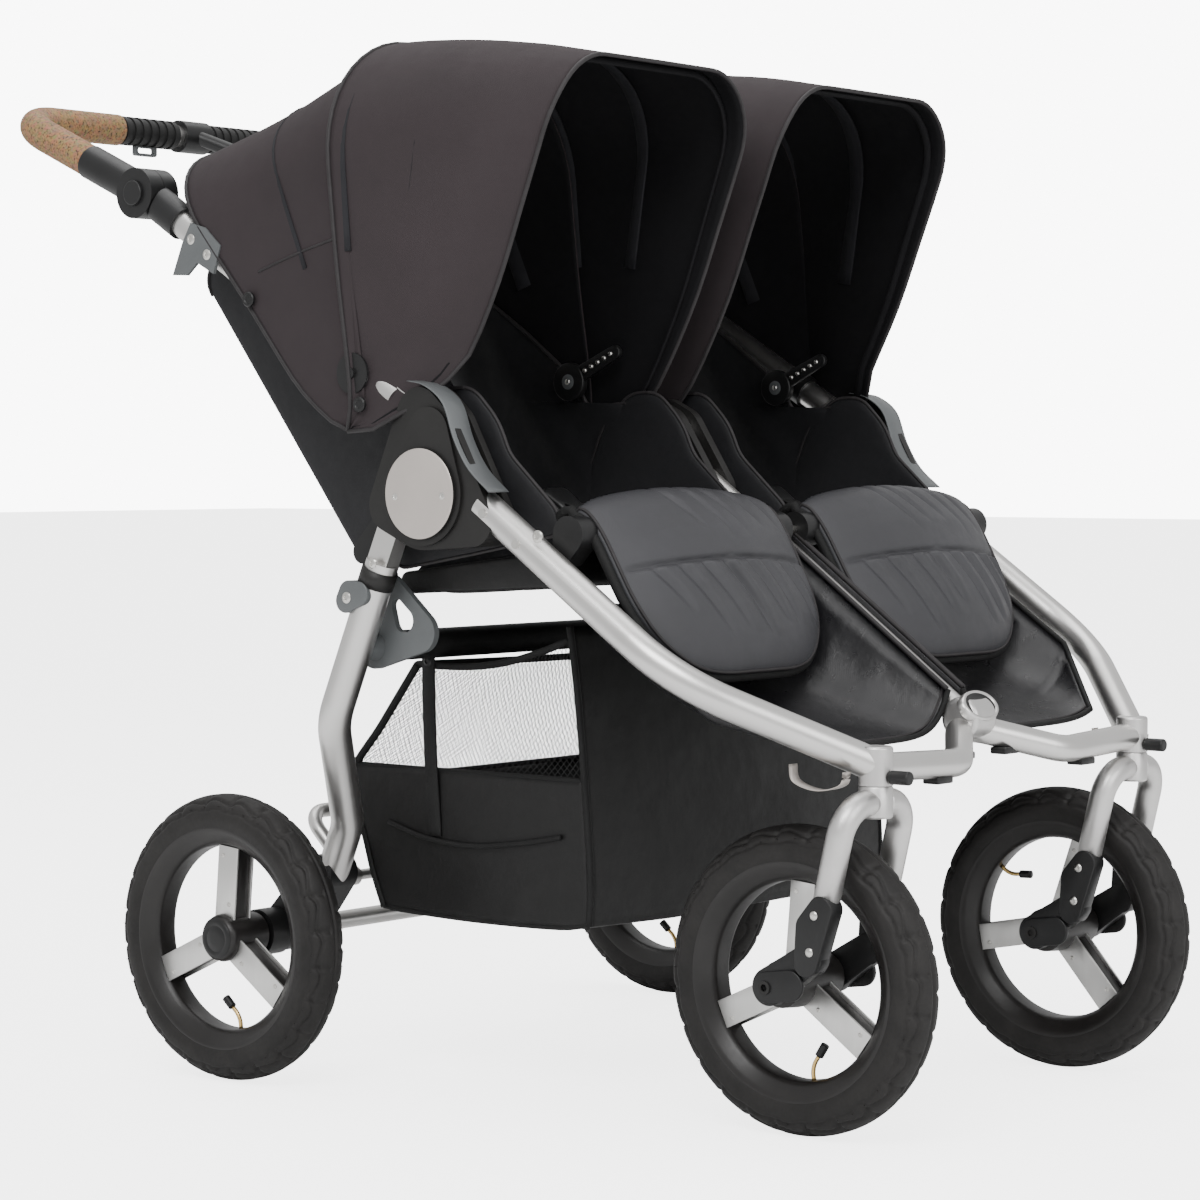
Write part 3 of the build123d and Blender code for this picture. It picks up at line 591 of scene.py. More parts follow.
def detailed_wheel(name, centre, body, hub_in, hub_out, sign, turn, valve, lean_way=1):
    """Deep black rim, three pairs of brushed spoke plates on a black core, hub caps and a valve.
    hub_in and hub_out are the hub's reach towards and away from the middle of the stroller."""
    parts = []
    rim = RIM_HALF + [(-along, radius) for along, radius in reversed(RIM_HALF)] + [(12, 107.5), (-12, 107.5)]
    parts.append(lathe("rim", rim, centre, "rim", steps=96, closed=True))
    for i in range(3):
        angle = radians(95 + turn + 120 * i)
        spin = Matrix.Rotation(angle, 3, "X")

        def bar(x0, x1, r0, r1, width, look, bevel):
            corner = (r1, -width / 2)   # doubled, so that this edge is eased less than the others
            outline = [(r0, -width / 2), corner, corner, (r1, width / 2), (r0, width / 2)]
            near, far = ([centre + spin @ Vector((x, u, v)) / 1000 for u, v in outline] for x in (x0, x1))
            return prism("bar", near, far, look, bevel)

        parts.append(bar(-9.5, 9.5, 12, 95, 21, "rim", 1.0))
        for face in (1, -1):
            x0, x1 = sorted((face * 9.6, face * 12))
            parts.append(bar(x0, x1, 20, 93.8, 27, "brushed", 0.5))
            for r, v in ((35, 5), (84, -7)):
                spot = centre + spin @ Vector((face * 12, r, v)) / 1000
                parts.append(lathe("screw", SPOKE_SCREW, spot, "screw", steps=14, way=face))
    reach = {1: hub_out, -1: hub_in} if sign > 0 else {1: hub_in, -1: hub_out}
    hub = [(-reach[-1], 7), (-reach[-1], 19), (-reach[-1] + 2, 22), (-14, 24), (14, 24), (reach[1] - 2, 22),
           (reach[1], 19), (reach[1], 7)]
    parts.append(lathe("hub", hub, centre, "rim", steps=64, closed=True))
    if hub_out < 30:
        parts.append(lathe("cap", HUB_CAP, centre, "black_plastic", way=sign))
    stem_angle = radians(valve)
    foot = centre + Vector((0, cos(stem_angle) * 94, sin(stem_angle) * 94)) / 1000
    inward = -Vector((0, cos(stem_angle), sin(stem_angle)))
    sideways = Vector((0, -sin(stem_angle), cos(stem_angle))) * lean_way
    bend = [foot, foot + inward * 0.008, foot + inward * 0.016 + sideways * 0.003,
            foot + inward * 0.023 + sideways * 0.009]
    parts.append(pipe("stem", spline(bend, 10), 0.0022, "brass", sides=10))
    tip = bend[-1]
    lean = (bend[-1] - bend[-2]).normalized()
    parts.append(pipe("stem_cap", [tip, tip + lean * 0.002, tip + lean * 0.011, tip + lean * 0.0125], 0.0042,
                      "black_plastic", sides=12))
    return join(name, parts, body)


for sign, side in SIDES:
    rear = Vector((middle(f"rear_tyre_{side}").x, AXLE_Y, AXLE_Z))
    front = middle(f"front_tyre_{side}")
    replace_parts(detailed_tyre(f"rear_tread_{side}", rear, f"back_wheel_{side}"), f"rear_tyre_{side}")
    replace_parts(detailed_tyre(f"front_tread_{side}", front, f"caster_wheel_{side}"), f"front_tyre_{side}")
    wheel = detailed_wheel(f"rear_spokes_{side}", rear, f"back_wheel_{side}", 34, 22, sign, 0, 262)
    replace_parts(wheel, f"rear_wheel_{side}")
    wheel = detailed_wheel(f"front_spokes_{side}", front, f"caster_wheel_{side}", 38, 38, sign,
                           0 if sign < 0 else 14, 262 if sign < 0 else 38, sign)
    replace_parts(wheel, f"front_wheel_{side}")


# ------------------------------------------------------------------ small hardware
def screw_head(x, y, z, sign, radius, look="screw", body="front_frame", name="screw_head", height=1.6,
               socket=True):
    """A domed screw head with a recessed socket that faces along the axis."""
    h = height
    profile = [(-1.0, 0), (-1.0, radius), (h * 0.3, radius), (h * 0.8, radius * 0.8), (h, radius * 0.5)]
    profile += [(h * 0.3, radius * 0.38), (h * 0.3, 0)] if socket else [(h * 1.05, 0)]
    return lathe(name, profile, P(x, y, z), look, body, steps=24, way=sign)


def discs_outline(discs, steps=64):
    """The tight outline round several discs ((y, z), radius)."""
    points = []
    for (y, z), r in discs:
        for k in range(steps):
            a = 2 * pi * k / steps
            points.append((y + r * cos(a), z + r * sin(a)))
    points.sort()

    def turn(o, a, b):
        return (a[0] - o[0]) * (b[1] - o[1]) - (a[1] - o[1]) * (b[0] - o[0])

    lower, upper = [], []
    for chain, order in ((lower, points), (upper, reversed(points))):
        for p in order:
            while len(chain) >= 2 and turn(chain[-2], chain[-1], p) <= 0:
                chain.pop()
            chain.append(p)
    return lower[:-1] + upper[:-1]


FRONT_AXLE = (-619.0, 146.0)
CASTER_X = 232.0
FORK_CROWN = (-700.0, 317.0)
LEG_OFFSET, LEG_BEND = 48.0, 30.0
FORK_BOSS = [(38.4, 0), (38.4, 12), (39.4, 14), (43, 14), (43, 0)]
AXLE_BOLT = [(60, 0), (60, 6.8), (62.6, 6.4), (62.6, 3.4), (61, 3.2), (61, 0)]
FORK_PLATES = [[((-680, 222), 13), ((-668, 205), 14.6), ((-664, 172), 12.6)],
               [((-664, 176), 14.6), (FRONT_AXLE, 17.6)]]


def fork_leg(sign, leg):
    """The centre line of a fork leg: out of the crown, round a bend and down to its bracket."""
    out = Vector((sign * leg, 0, 0))
    down = Vector((0, 28, -117)).normalized()
    corner = Vector((sign * CASTER_X, *FORK_CROWN)) + out * LEG_OFFSET
    line = [corner - out * 38, corner - out * (LEG_BEND + 4)]
    for k in range(13):
        a = pi / 2 * k / 12
        line.append(corner + (out * (sin(a) - 1) + down * (1 - cos(a))) * LEG_BEND)
    line += [corner + down * (LEG_BEND + 10), corner + down * 118]
    return [P(*p) for p in line]


for sign, side in SIDES:
    x = sign * CASTER_X
    crown = [(303, 0), (303, 14.6), (304.6, 16), (331, 16), (332.5, 15), (332.5, 0)]
    parts = [lathe("crown", crown, P(x, FORK_CROWN[0], 0), "cast_silver", axis="Z", steps=48)]
    for leg in (1, -1):
        out = sign * leg
        parts.append(pipe("leg", fork_leg(sign, leg), 0.0125, "cast_silver", sides=32))
        for k, discs in enumerate(FORK_PLATES):
            faces = [x + out * reach for reach in (41.4 - 0.5 * k, 61.2 - 4.4 * k)]
            parts.append(slab(f"fork_plate{k}", discs_outline(discs), *faces, "black_plastic", None, 1.2))
        cap = discs_outline([(FRONT_AXLE, 14.6), ((-646, 150), 14.6)])
        parts.append(slab("axle_cap", cap, x + out * 56.0, x + out * 61.0, "black_plastic", None, 1.4))
        centre = P(x, *FRONT_AXLE)
        parts.append(lathe("fork_boss", FORK_BOSS, centre, "black_plastic", way=out))
        parts.append(lathe("axle_bolt", AXLE_BOLT, centre, "hub_plastic", steps=24, way=out))
        for y, z in ((-674, 217), (-669, 183)):
            parts.append(screw_head(x + out * 61.0, y, z, out, 4.2, body=None, name="rivet", height=1.8,
                                    socket=False))
    fork = join(f"fork_{side}", parts, f"caster_{side}")
    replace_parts(fork, f"caster_fork_{side}", f"front_axle_{side}")

# hub discs and screws
HUB_DISC = (-278.0, 598.0)
for sign, side in SIDES:
    centre = P(sign * 386, *HUB_DISC)
    disc_profile = [(-2.6, 0), (-2.6, 43.4), (0, 43.4), (0.8, 42.6), (1.0, 41), (1.1, 0)]
    lathe(f"hub_disc_{side}", disc_profile, centre, "badge", "front_frame", steps=96, way=sign)
    for y, z in ((-278 - 30, 598 - 2), (-278 + 30, 598 - 3)):
        screw_head(sign * 387, y, z, sign, 3.4, name=f"hub_screw_{side}_{int(y)}", height=0.6)

# latch rivets, down tube screws, rear leg hardware, crossbar sleeve
UPRIGHT = atan2(904 - 655, 118 + 286)


def on_upright(distance, off=0.0):
    """The (y, z) of a point on the handle's uprights, at a distance from the fold and off their middle."""
    y = -286 + distance * cos(UPRIGHT) - off * sin(UPRIGHT)
    z = 655 + distance * sin(UPRIGHT) + off * cos(UPRIGHT)
    return y, z


for sign, side in SIDES:
    for k, (d, off) in enumerate(((378, 0), (350, -2))):
        y, z = on_upright(d, off)
        screw_head(sign * 380.4, y, z, sign, 5.4, body=f"latch_{side}", name=f"latch_rivet_{side}_{k}")
    screw_head(sign * 378, -210, 530, sign, 5.0, body="rear_frame", name=f"leg_screw_{side}", height=1.8)
    slab(f"leg_lug_{side}", discs_outline([((-194, 500), 12), ((-180, 501), 12), ((-176, 493), 12)]),
               sign * 349, sign * 381.5, "grey_metal", "rear_frame", 1.2)
    screw_head(sign * 381.5, -179, 496, sign, 5.6, body="rear_frame", name=f"lug_bolt_{side}", height=1.8)
    socket = [P(sign * 362, -206, 524), P(sign * 362, -199, 508)]
    pipe(f"leg_socket_{side}", socket, 0.0182, "hub_plastic", "rear_frame", sides=32)
    wire = [(0, 0), (6, 5), (4, 12), (-3, 13), (-6, 7), (-1, 3), (4, 8)]
    spring = spline([P(sign * 337.5, -196 + y, 506 + z) for y, z in wire], 40)
    pipe(f"hook_spring_{side}", spring, 0.0009, "screw", "rear_frame", sides=6)
    screw_head(sign * 381.5, -422, 559, sign, 6.0, name=f"calf_bolt_{side}", height=1.8)
    screw_head(sign * 381.0, *on_upright(113), sign, 6.0, body="handle_frame", name=f"clip_bolt_{side}",
               height=0.5)

sleeve = [P(x, -173, 446) for x in (-292, -288, 288, 292)]
pipe("crossbar_sleeve", sleeve, 0.0152, "grip", "rear_frame", sides=32)


# ------------------------------------------------------------------ canopies
RIM = [(-187, 658), (-209, 656), (-243, 671), (-281, 697), (-332, 785), (-368, 872), (-402, 962),
       (-412, 1015)]
SEAM = [(-187, 658), (-190, 700), (-173, 820), (-158, 960), (-150, 1047)]
SEAM_LAP = [(y - 14, z) for y, z in SEAM]
REAR = [(-187, 658), (-163, 667), (-109, 708), (-42, 787), (10, 848), (62, 912), (92, 952)]
HOOD_X = 207                           # middle of one hood
ROOF_CENTRE, ROOF_R = Vector((-220, 503)), 546.3


def hood_section(curve_a, curve_b, u, outer, inner, drop, corner):
    """One bow line of a hood: from its outer hem over the roof to its inner hem."""
    top_a, top_b = curve_a[-1], curve_b[-1]
    angle = lambda p: atan2(p.y - ROOF_CENTRE.y, p.x - ROOF_CENTRE.x)
    turn = angle(top_a) * (1 - u) + angle(top_b) * u
    crest = Vector((ROOF_CENTRE.x + ROOF_R * cos(turn), ROOF_CENTRE.y + ROOF_R * sin(turn), 0))
    shift = crest - top_a.lerp(top_b, u)

    def spot(t):
        p = at(curve_a, t).lerp(at(curve_b, t), u) + shift * t * t
        return Vector((p.x, p.y - drop * t ** 3))

    length = max(230.0, sum((spot((k + 1) / 20) - spot(k / 20)).length for k in range(20)))
    out = []
    bend = 1 - corner / length
    for k in range(14):
        out.append((outer, spot(bend * (k / 14) ** 0.9), 0.0))
    for k in range(11):
        a = pi / 2 * k / 11
        out.append((outer - corner * (1 - cos(a)), spot(1 - corner * (1 - sin(a)) / length), sin(a)))
    for k in range(9):
        w = k / 8
        out.append((outer - corner + (inner - outer + 2 * corner) * w, spot(1.0), 1.0))
    for k in range(10, -1, -1):
        a = pi / 2 * k / 11
        out.append((inner + corner * (1 - cos(a)), spot(1 - corner * (1 - sin(a)) / length), sin(a)))
    for k in range(13, -1, -1):
        out.append((inner, spot(bend * (k / 14) ** 0.9), 0.0))
    return out


def hood(name, curve_a, curve_b, outer, inner, drop, sign, rows=30):
    """A hood panel as one continuous sheet with drape between its bows."""
    a, b = spline(curve_a, 80), spline(curve_b, 80)
    verts = []
    for i in range(rows):
        u = i / (rows - 1)
        corner = 82 + 46 * u if drop == 0 else 128 - 20 * u
        line = hood_section(a, b, u, outer, inner, drop, corner)
        n = len(line)
        for j, (x, p, roof) in enumerate(line):
            slack = sin(pi * u)
            inwards = (8.0 if drop == 0 else 26.0) * slack * roof
            flare = 48 * (1 - u) if drop == 0 else 5 * u
            rise = min(1.0, max(0.0, (p.y - 655) / 85))
            taper = flare * rise * rise * (3 - 2 * rise)
            w = j / (n - 1)
            wave = noise.noise(Vector((u * 3.1 + drop, w * 7.0, sign * 2.0))) * 2.4 * slack
            near_hem = exp(-(min(w, 1 - w) / 0.05) ** 2)
            fold = 1.1 * sin(w * 60 + u * 9) * exp(-((u - 0.5) / 0.4) ** 2) * near_hem
            side = (1 - roof) * (wave * 0.6 + fold)
            crown = 4.0 * roof * sin(pi * min(1, max(0, (w - 0.25) / 0.5)))
            side_sign = 1 if w < 0.5 else -1
            y = p.x
            z = p.y - inwards + crown * 0.5 + wave * 0.4 * roof
            pinch = (x - 27) / 361 * taper
            verts.append(P(sign * (x - pinch - side_sign * (0.4 + abs(side))), y, z))
    obj = piece(name, verts, grid_faces(rows, n), ["canopy", "lining"], flip=sign < 0)
    return obj, [verts[i * n:(i + 1) * n] for i in range(rows)]


def flatten_with_fold(obj):
    """Give a hood piece a mesh of its own; the piece is not squashed as the frame folds."""
    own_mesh(obj)


def cloth_area(rows):
    """The area of a sheet given as rows of points."""
    total = 0.0
    for r0, r1 in zip(rows, rows[1:]):
        for j in range(len(r0) - 1):
            total += ((r0[j + 1] - r0[j]).cross(r1[j] - r0[j])).length / 2
            total += ((r1[j + 1] - r1[j]).cross(r1[j + 1] - r0[j + 1])).length / 2
    return total


def snap(name, x, y, z, sign, body):
    """A press stud."""
    profile = [(-2, 0), (-2, 7.5), (0.6, 7.5), (1.6, 6.6), (1.8, 4.6), (0.7, 3.6), (0.7, 0)]
    return lathe(name, profile, P(x, y, z), "black_plastic", body, steps=32, way=sign)


for sign, side in SIDES:
    for part, curve_a, curve_b, outer, inner, drop, body in (
            ("front", RIM, SEAM, 388, 27, 0, f"canopy_{side}"),
            ("rear", SEAM_LAP, REAR, 384, 31, 4.5, "handle_frame")):
        sheet, rows = hood(f"hood_{part}_{side}", curve_a, curve_b, outer, inner, drop, sign)
        inside = P(sign * HOOD_X, -190, 800)
        inward = sum(poly.normal.dot(poly.center - inside) < 0 for poly in sheet.data.polygons)
        if inward > len(sheet.data.polygons) / 2:
            sheet.data.flip_normals()
        area = cloth_area(rows)
        thicken(sheet, 0.0022, 1)
        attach(sheet, body)
        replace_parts(sheet, f"canopy_{part}_{side}")
        lengths = [sum((b - a).length for a, b in zip(r, r[1:])) for r in rows]
        longest = max(lengths)
        crest = [row[len(row) // 2] for row in rows]
        span = max(sum((b - a).length for a, b in zip(crest, crest[1:])), area / longest)
        trims = []
        edges = [rows[0], rows[-1]] if part == "front" else [rows[-1]]
        for k, edge in enumerate(edges):
            trims.append(pipe("cord", edge, 0.0022, "piping"))
        bow = rows[2] if part == "front" else rows[-3]
        inset = [p.lerp(P(sign * HOOD_X, -190, 720), 0.022) for p in bow]
        trims.append(pipe("bow", inset, 0.0042, "lining", sides=8, flat=0.5))
        heart = P(sign * HOOD_X, -190, 790)
        for row in ((15, 28) if part == "front" else (14,)):
            line = [p.lerp(heart, 0.014) for p in rows[row][9:-9]]
            trims.append(ribbon("channel", line, lambda i, p: heart - p, 0.024, 0.0022, "channel"))
        if part == "rear":
            n = len(rows[0])
            for j in (10, n - 11):
                trims.append(pipe("stitch", [r[j] for r in rows[2:24]], 0.0013, "piping"))
        trim = join(f"hood_piping_{part}_{side}", trims, body)
        flatten_with_fold(sheet)
        flatten_with_fold(trim)
    for x, y, z, body in ((385, -50, 790, "handle_frame"), (388.6, -203, 684, f"canopy_{side}")):
        button = snap(f"hood_snap_{side}_{int(z)}", sign * x, y, z, sign, body)
        flatten_with_fold(button)


# ------------------------------------------------------------------ seats
SEAT_X = 184                           # middle of one seat
BACK_ANGLE = radians(52.4)
BACK_ALONG = Vector((0, cos(BACK_ANGLE), sin(BACK_ANGLE)))
BACK_FACE = Vector((0, -sin(BACK_ANGLE), cos(BACK_ANGLE)))


def puff(obj, cap):
    """Swell a pad with cloth pressure, and limit how far any point moves."""
    modified(obj, ("REMESH", {"mode": "VOXEL", "voxel_size": 0.006}))
    rest = [v.co.copy() for v in obj.data.vertices]
    cloth = obj.modifiers.new("cloth", "CLOTH")
    cloth.settings.use_pressure = True
    cloth.settings.uniform_pressure_force = 4.0
    cloth.settings.effector_weights.gravity = 0.0
    cloth.settings.quality = 4
    cloth.settings.tension_stiffness = 25
    cloth.settings.compression_stiffness = 25
    cloth.point_cache.frame_start = 1
    cloth.point_cache.frame_end = 20
    scene = bpy.context.scene
    for f in range(1, 21):
        scene.frame_set(f)
    settle(obj)
    for v, r in zip(obj.data.vertices, rest):
        move = v.co - r
        if move.length > cap / 1000:
            v.co = r + move.normalized() * cap / 1000
    scene.frame_set(1)
    for poly in obj.data.polygons:
        poly.use_smooth = True
    return obj


def mirror_of(obj, name):
    """The same piece on the other side of the stroller."""
    data = obj.data.copy()
    data.transform(Matrix.Scale(-1, 4, (1, 0, 0)))
    data.flip_normals()
    out = bpy.data.objects.new(name, data)
    bpy.context.collection.objects.link(out)
    return out


def seat_back(sign):
    """The padded back of one seat."""
    origin = P(sign * SEAT_X, -150 + 14 * BACK_FACE.y, 532 + 14 * BACK_FACE.z)

    def place(u, v, h):
        return origin + (Vector((u, 0, 0)) + BACK_ALONG * v + BACK_FACE * h) / 1000

    corners = [(-136, 4), (136, 4), (132, 366), (-132, 366)]
    outline = rounded(corners, [14, 14, 44, 44])
    return pad("seat_back_pad", outline, place, 24, "seat", None, rings=20, count=120, edge=7)


def seat_base(sign):
    """The cushion of one seat."""
    slope = Vector((0, -405 + 215, 573 - 534)).normalized()
    face = Vector((0, slope.z, -slope.y)) * (1 if -slope.y > 0 else -1)
    origin = P(sign * SEAT_X, -192, 512)

    def place(u, v, h):
        return origin + (Vector((u, 0, 0)) + slope * v + Vector((0, 0, 1)) * h) / 1000

    outline = rounded([(-136, 4), (136, 4), (134, 220), (-134, 220)], [16, 16, 30, 30])
    return pad("seat_base_pad", outline, place, 34, "seat", None, rings=18, count=110, edge=7)


def sink(obj, distance_of, depth, width):
    """Press a sewn seam into the surface."""
    for v in obj.data.vertices:
        d, inwards = distance_of(v.co)
        if inwards is None:
            continue
        v.co += inwards * (depth * exp(-(d / width) ** 2))
    obj.data.update()
    return obj


back_left = puff(seat_back(1), 6)
back_origin = P(SEAT_X, -150, 532)


def back_seams(co):
    """Distance to the nearest seam of the seat back, and the way that it sinks."""
    local = co - back_origin
    v = local.dot(BACK_ALONG) * 1000
    u = local.x * 1000
    h = local.dot(BACK_FACE) * 1000
    d = min(abs(v - s) for s in (88, 172, 258))
    d = min(d, abs(abs(u) - 96)) if 20 < v < 350 else d
    return d, (-BACK_FACE / 1000 if h > 14 else None)


sink(back_left, back_seams, 3.4, 4.5)
modified(back_left, ("SUBSURF", {"levels": 1, "render_levels": 1}))
base_left = puff(seat_base(1), 6)
modified(base_left, ("SUBSURF", {"levels": 1, "render_levels": 1}))
for sign, side in SIDES:
    back = back_left if sign > 0 else mirror_of(back_left, "seat_back_pad_right")
    base = base_left if sign > 0 else mirror_of(base_left, "seat_base_pad_right")
    back.name, base.name = f"seat_back_pad_{side}", f"seat_base_pad_{side}"
    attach(back, f"backrest_{side}")
    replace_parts(back, f"seat_back_{side}")
    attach(base, "front_frame")
    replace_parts(base, "seat_bases")
    # the black bottom of the seat, below the cushion
    floor_outline = rounded([(-194, 498), (-412, 510), (-418, 548), (-196, 520)], 8)
    slab(f"seat_floor_{side}", floor_outline, sign * 46, sign * 322, "basket", "front_frame", 3.0)

WING = [(-298, 700), (-330, 668), (-344, 636), (-404, 582), (-408, 560), (-300, 540), (-200, 523),
        (-183, 560), (-226, 668), (-262, 700)]
WING_CORNERS = [14, 16, 10, 14, 12, 8, 12, 10, 20, 14]
SEAT_SIDE = [(-262, 690), (-205, 684), (-190, 712), (-122, 764), (-52, 810), (8, 848), (52, 842), (66, 812),
             (-150, 532), (-200, 523)]


def side_relief(u, v):
    """Soft folds that run down the side of the seat."""
    across = (u + 60) * 0.79 - (v - 690) * 0.61
    return 1.8 * sin(across * 0.085 + 1.5 * noise.noise(Vector((u * 0.01, v * 0.012, 4)))) - 1.0


for sign, side in SIDES:
    for k, (x, face) in enumerate(((329.5, -1), (39.5, 1))):
        def side_place(u, v, h, x=x, face=face):
            return P(sign * (x + face * h), u, v)
        corners = [10, 12, 10, 20, 20, 20, 16, 16, 10, 10]
        panel = pad(f"seat_side_{side}_{k}", rounded(SEAT_SIDE, corners), side_place, 6.4, "seat",
                    "front_frame", rings=18, count=130, relief=side_relief, edge=8)
        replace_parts(panel, "seat_wings")
        edge_line = [P(sign * x, u, v) for u, v in rounded(SEAT_SIDE, corners)[:56]]
        pipe(f"seat_side_piping_{side}_{k}", edge_line, 0.0022, "piping", "front_frame")
        hub_x = x + face * 11
        thickness = 4.5
        outline = discs_outline([((-190, 712), 20)], 96)
        arm = [slab("arm_hub", outline, sign * (hub_x - thickness), sign * (hub_x + thickness),
                    "black_plastic", None, 1.2)]
        outline = discs_outline([((-196, 716), 9), ((-250, 742), 7)])
        arm.append(slab("arm_bar", outline, sign * (hub_x - 3), sign * (hub_x + 3), "black_plastic", None,
                        0.8))
        top = sign * (hub_x + face * thickness)
        out = sign * face
        arm.append(screw_head(top, -190, 712, out, 8, "grey_metal", None, "arm_disc", 0.8, socket=False))
        arm.append(screw_head(top + out * 0.6, -190, 712, out, 3.2, "screw", None, "arm_screw", 1.4))
        for step in range(5):
            spot = (-212 - 8.5 * step, 723.5 + 4.2 * step)
            arm.append(screw_head(sign * (hub_x + face * 3), *spot, out, 2.6, "screw", None, "arm_tooth", 2.2,
                                  socket=False))
        join(f"hood_arm_{side}_{k}", arm, f"canopy_{side}")
    for k, (x, face) in enumerate(((329.5, 1), (39.5, -1))):
        def place(u, v, h, x=x, face=face):
            return P(sign * (x + face * h), u, v)
        wing = pad(f"seat_wing_{side}_{k}", rounded(WING, WING_CORNERS), place, 7.0, "seat",
                   "front_frame", rings=12, count=110, edge=8)
        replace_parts(wing, "seat_wings")
        outline = even_outline(rounded(WING, WING_CORNERS), 120)
        loop = [P(sign * x, p.x, p.y) for p in outline]
        pipe(f"wing_piping_{side}_{k}", loop + loop[:2], 0.0018, "piping", "front_frame")


# harness: shoulder straps on the backrest, crotch strap and buckle on the seat
for sign, side in SIDES:
    for k, dx in enumerate((-46, 46)):
        pts = []
        for t in range(22):
            v = 300 - 250 * t / 21
            lift = 30.5 + 2.0 * sin(t * 0.7)
            spread = dx * (1 - 0.25 * sin(pi * t / 21))
            pts.append(P(sign * SEAT_X + spread, -150, 532) + (BACK_ALONG * v + BACK_FACE * lift) / 1000)
        ribbon(f"shoulder_strap_{side}_{k}", pts, lambda i, p: BACK_FACE, 0.026, 0.0018, "webbing",
                       f"backrest_{side}")
    pts = [P(sign * SEAT_X, -330 + 4 * t, 566 + 5.5 * t - 0.35 * t * t) for t in range(10)]
    ribbon(f"crotch_strap_{side}", pts, lambda i, p: Vector((0, 0.8, 1)), 0.026, 0.0018, "webbing",
           "front_frame")
    tip = pts[-1]
    pad(f"buckle_{side}", rounded([(-17, -22), (17, -22), (21, 18), (-21, 18)], 8),
                 lambda u, v, h: tip + Vector((u, v * 0.75 + 4, v * 0.5 + h + 3)) / 1000, 12, "black_plastic",
                 "front_frame", rings=8, count=48, edge=6)


# ------------------------------------------------------------------ calf rests
CALF_LENGTH = 216.0
CALF_SEAM = 104.0
CALF_PROFILE = spline([(-402, 573), (-426, 580), (-445, 565), (-471, 521), (-491, 481), (-503, 445),
                       (-507, 423)], 120)


def calf_place(sign):
    """Puts a point of the calf rest on its bent profile."""
    def place(u, v, h):
        t = min(max(v / CALF_LENGTH, 0.0), 1.0)
        p = at(CALF_PROFILE, t)
        ahead, behind = at(CALF_PROFILE, min(t + 0.02, 1)), at(CALF_PROFILE, max(t - 0.02, 0))
        down = (ahead - behind).normalized()
        face = Vector((down.y, -down.x, 0))
        if face.x > 0:
            face = -face
        crown = 25.0 * (1 - (u / 150) ** 2) * (0.35 + 0.65 * min(1, v / 70))
        spot = p + face * (h + crown) + down * (v - t * CALF_LENGTH)
        return P(sign * 180 + u, spot.x, spot.y)
    return place


def calf_folds(seed):
    """Sewn folds that run down and to one side from the cross seam: (start, slant, length, depth)."""
    rng = random.Random(seed)
    return [(-118 + 33 * k + 8 * rng.random(), 0.42 + 0.12 * rng.random(), 52 + 40 * rng.random(),
             5.0 + 2.2 * rng.random()) for k in range(8)]


def calf_relief(folds, tucks):
    """Cross seam, edge seam, and the folds that start at each of them."""
    def relief(u, v):
        edge = 150 - abs(u)
        h = groove(v - CALF_SEAM, 3.2, 4.6)
        h += 2.0 * (1 - exp(-(abs(v - CALF_SEAM) / 26) ** 2)) - 1.0
        below = v - CALF_SEAM
        if below > 0:
            for start, slant, length, depth in folds:
                d = u - start - slant * below
                fade = min(1, below / 6) * max(0.0, 1 - below / length) ** 0.6
                h += fade * (groove(d, 3.8, depth) + 0.6 * depth * exp(-((d - 9) / 8) ** 2))
        if v < CALF_SEAM:
            for start, slant, length, depth in tucks:
                d = u - start - slant * (v - 18)
                fade = max(0.0, 1 - abs(v - 40) / (length * 0.6))
                h += fade * groove(d, 4.0, depth * 0.6)
        return h * min(1, max(0, edge - 6) / 14)
    return relief


for sign, side in SIDES:
    outline = rounded([(-149, 0), (149, 0), (143, 216), (-143, 216)], [16, 16, 128, 128], 14)
    place = calf_place(sign)
    relief = calf_relief(calf_folds(3 + sign), calf_folds(11 + sign)[2:7])
    calf = pad(f"calf_pad_{side}", outline, place, 17, "quilt", f"calf_flap_{side}", rings=54, count=360,
               relief=relief, edge=10, back=0.7)
    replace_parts(calf, f"calf_rest_{side}")
    loop = [place(p.x * 1.012, p.y * 1.008, -3.5) for p in even_outline(outline, 200)]
    pipe(f"calf_binding_{side}", loop + loop[:2], 0.0052, "webbing", f"calf_flap_{side}")
    loop = [place(p.x * 0.985, (p.y - 108) * 0.98 + 108, 4.2) for p in even_outline(outline, 200)]
    pipe(f"calf_piping_{side}", loop + loop[:2], 0.0018, "piping", f"calf_flap_{side}")


# ------------------------------------------------------------------ foot wells
WELL_FLOOR = [(-425, 490), (-448, 458), (-478, 420), (-520, 396), (-570, 378), (-612, 366), (-636, 360)]


def well_sides(y):
    """The ridge over the centre tube and the rim by the down tube, at a y: (ridge z, rim x, rim z)."""
    ridge = 378 + (y + 650) * 0.731 + 17
    if y > -560:
        return ridge, 338.0, 588 + (y + 343) * 0.696 - 6
    share = (-560 - y) / 76
    return ridge, 338 - 80 * share, (431 - 6) * (1 - share) + 371 * share


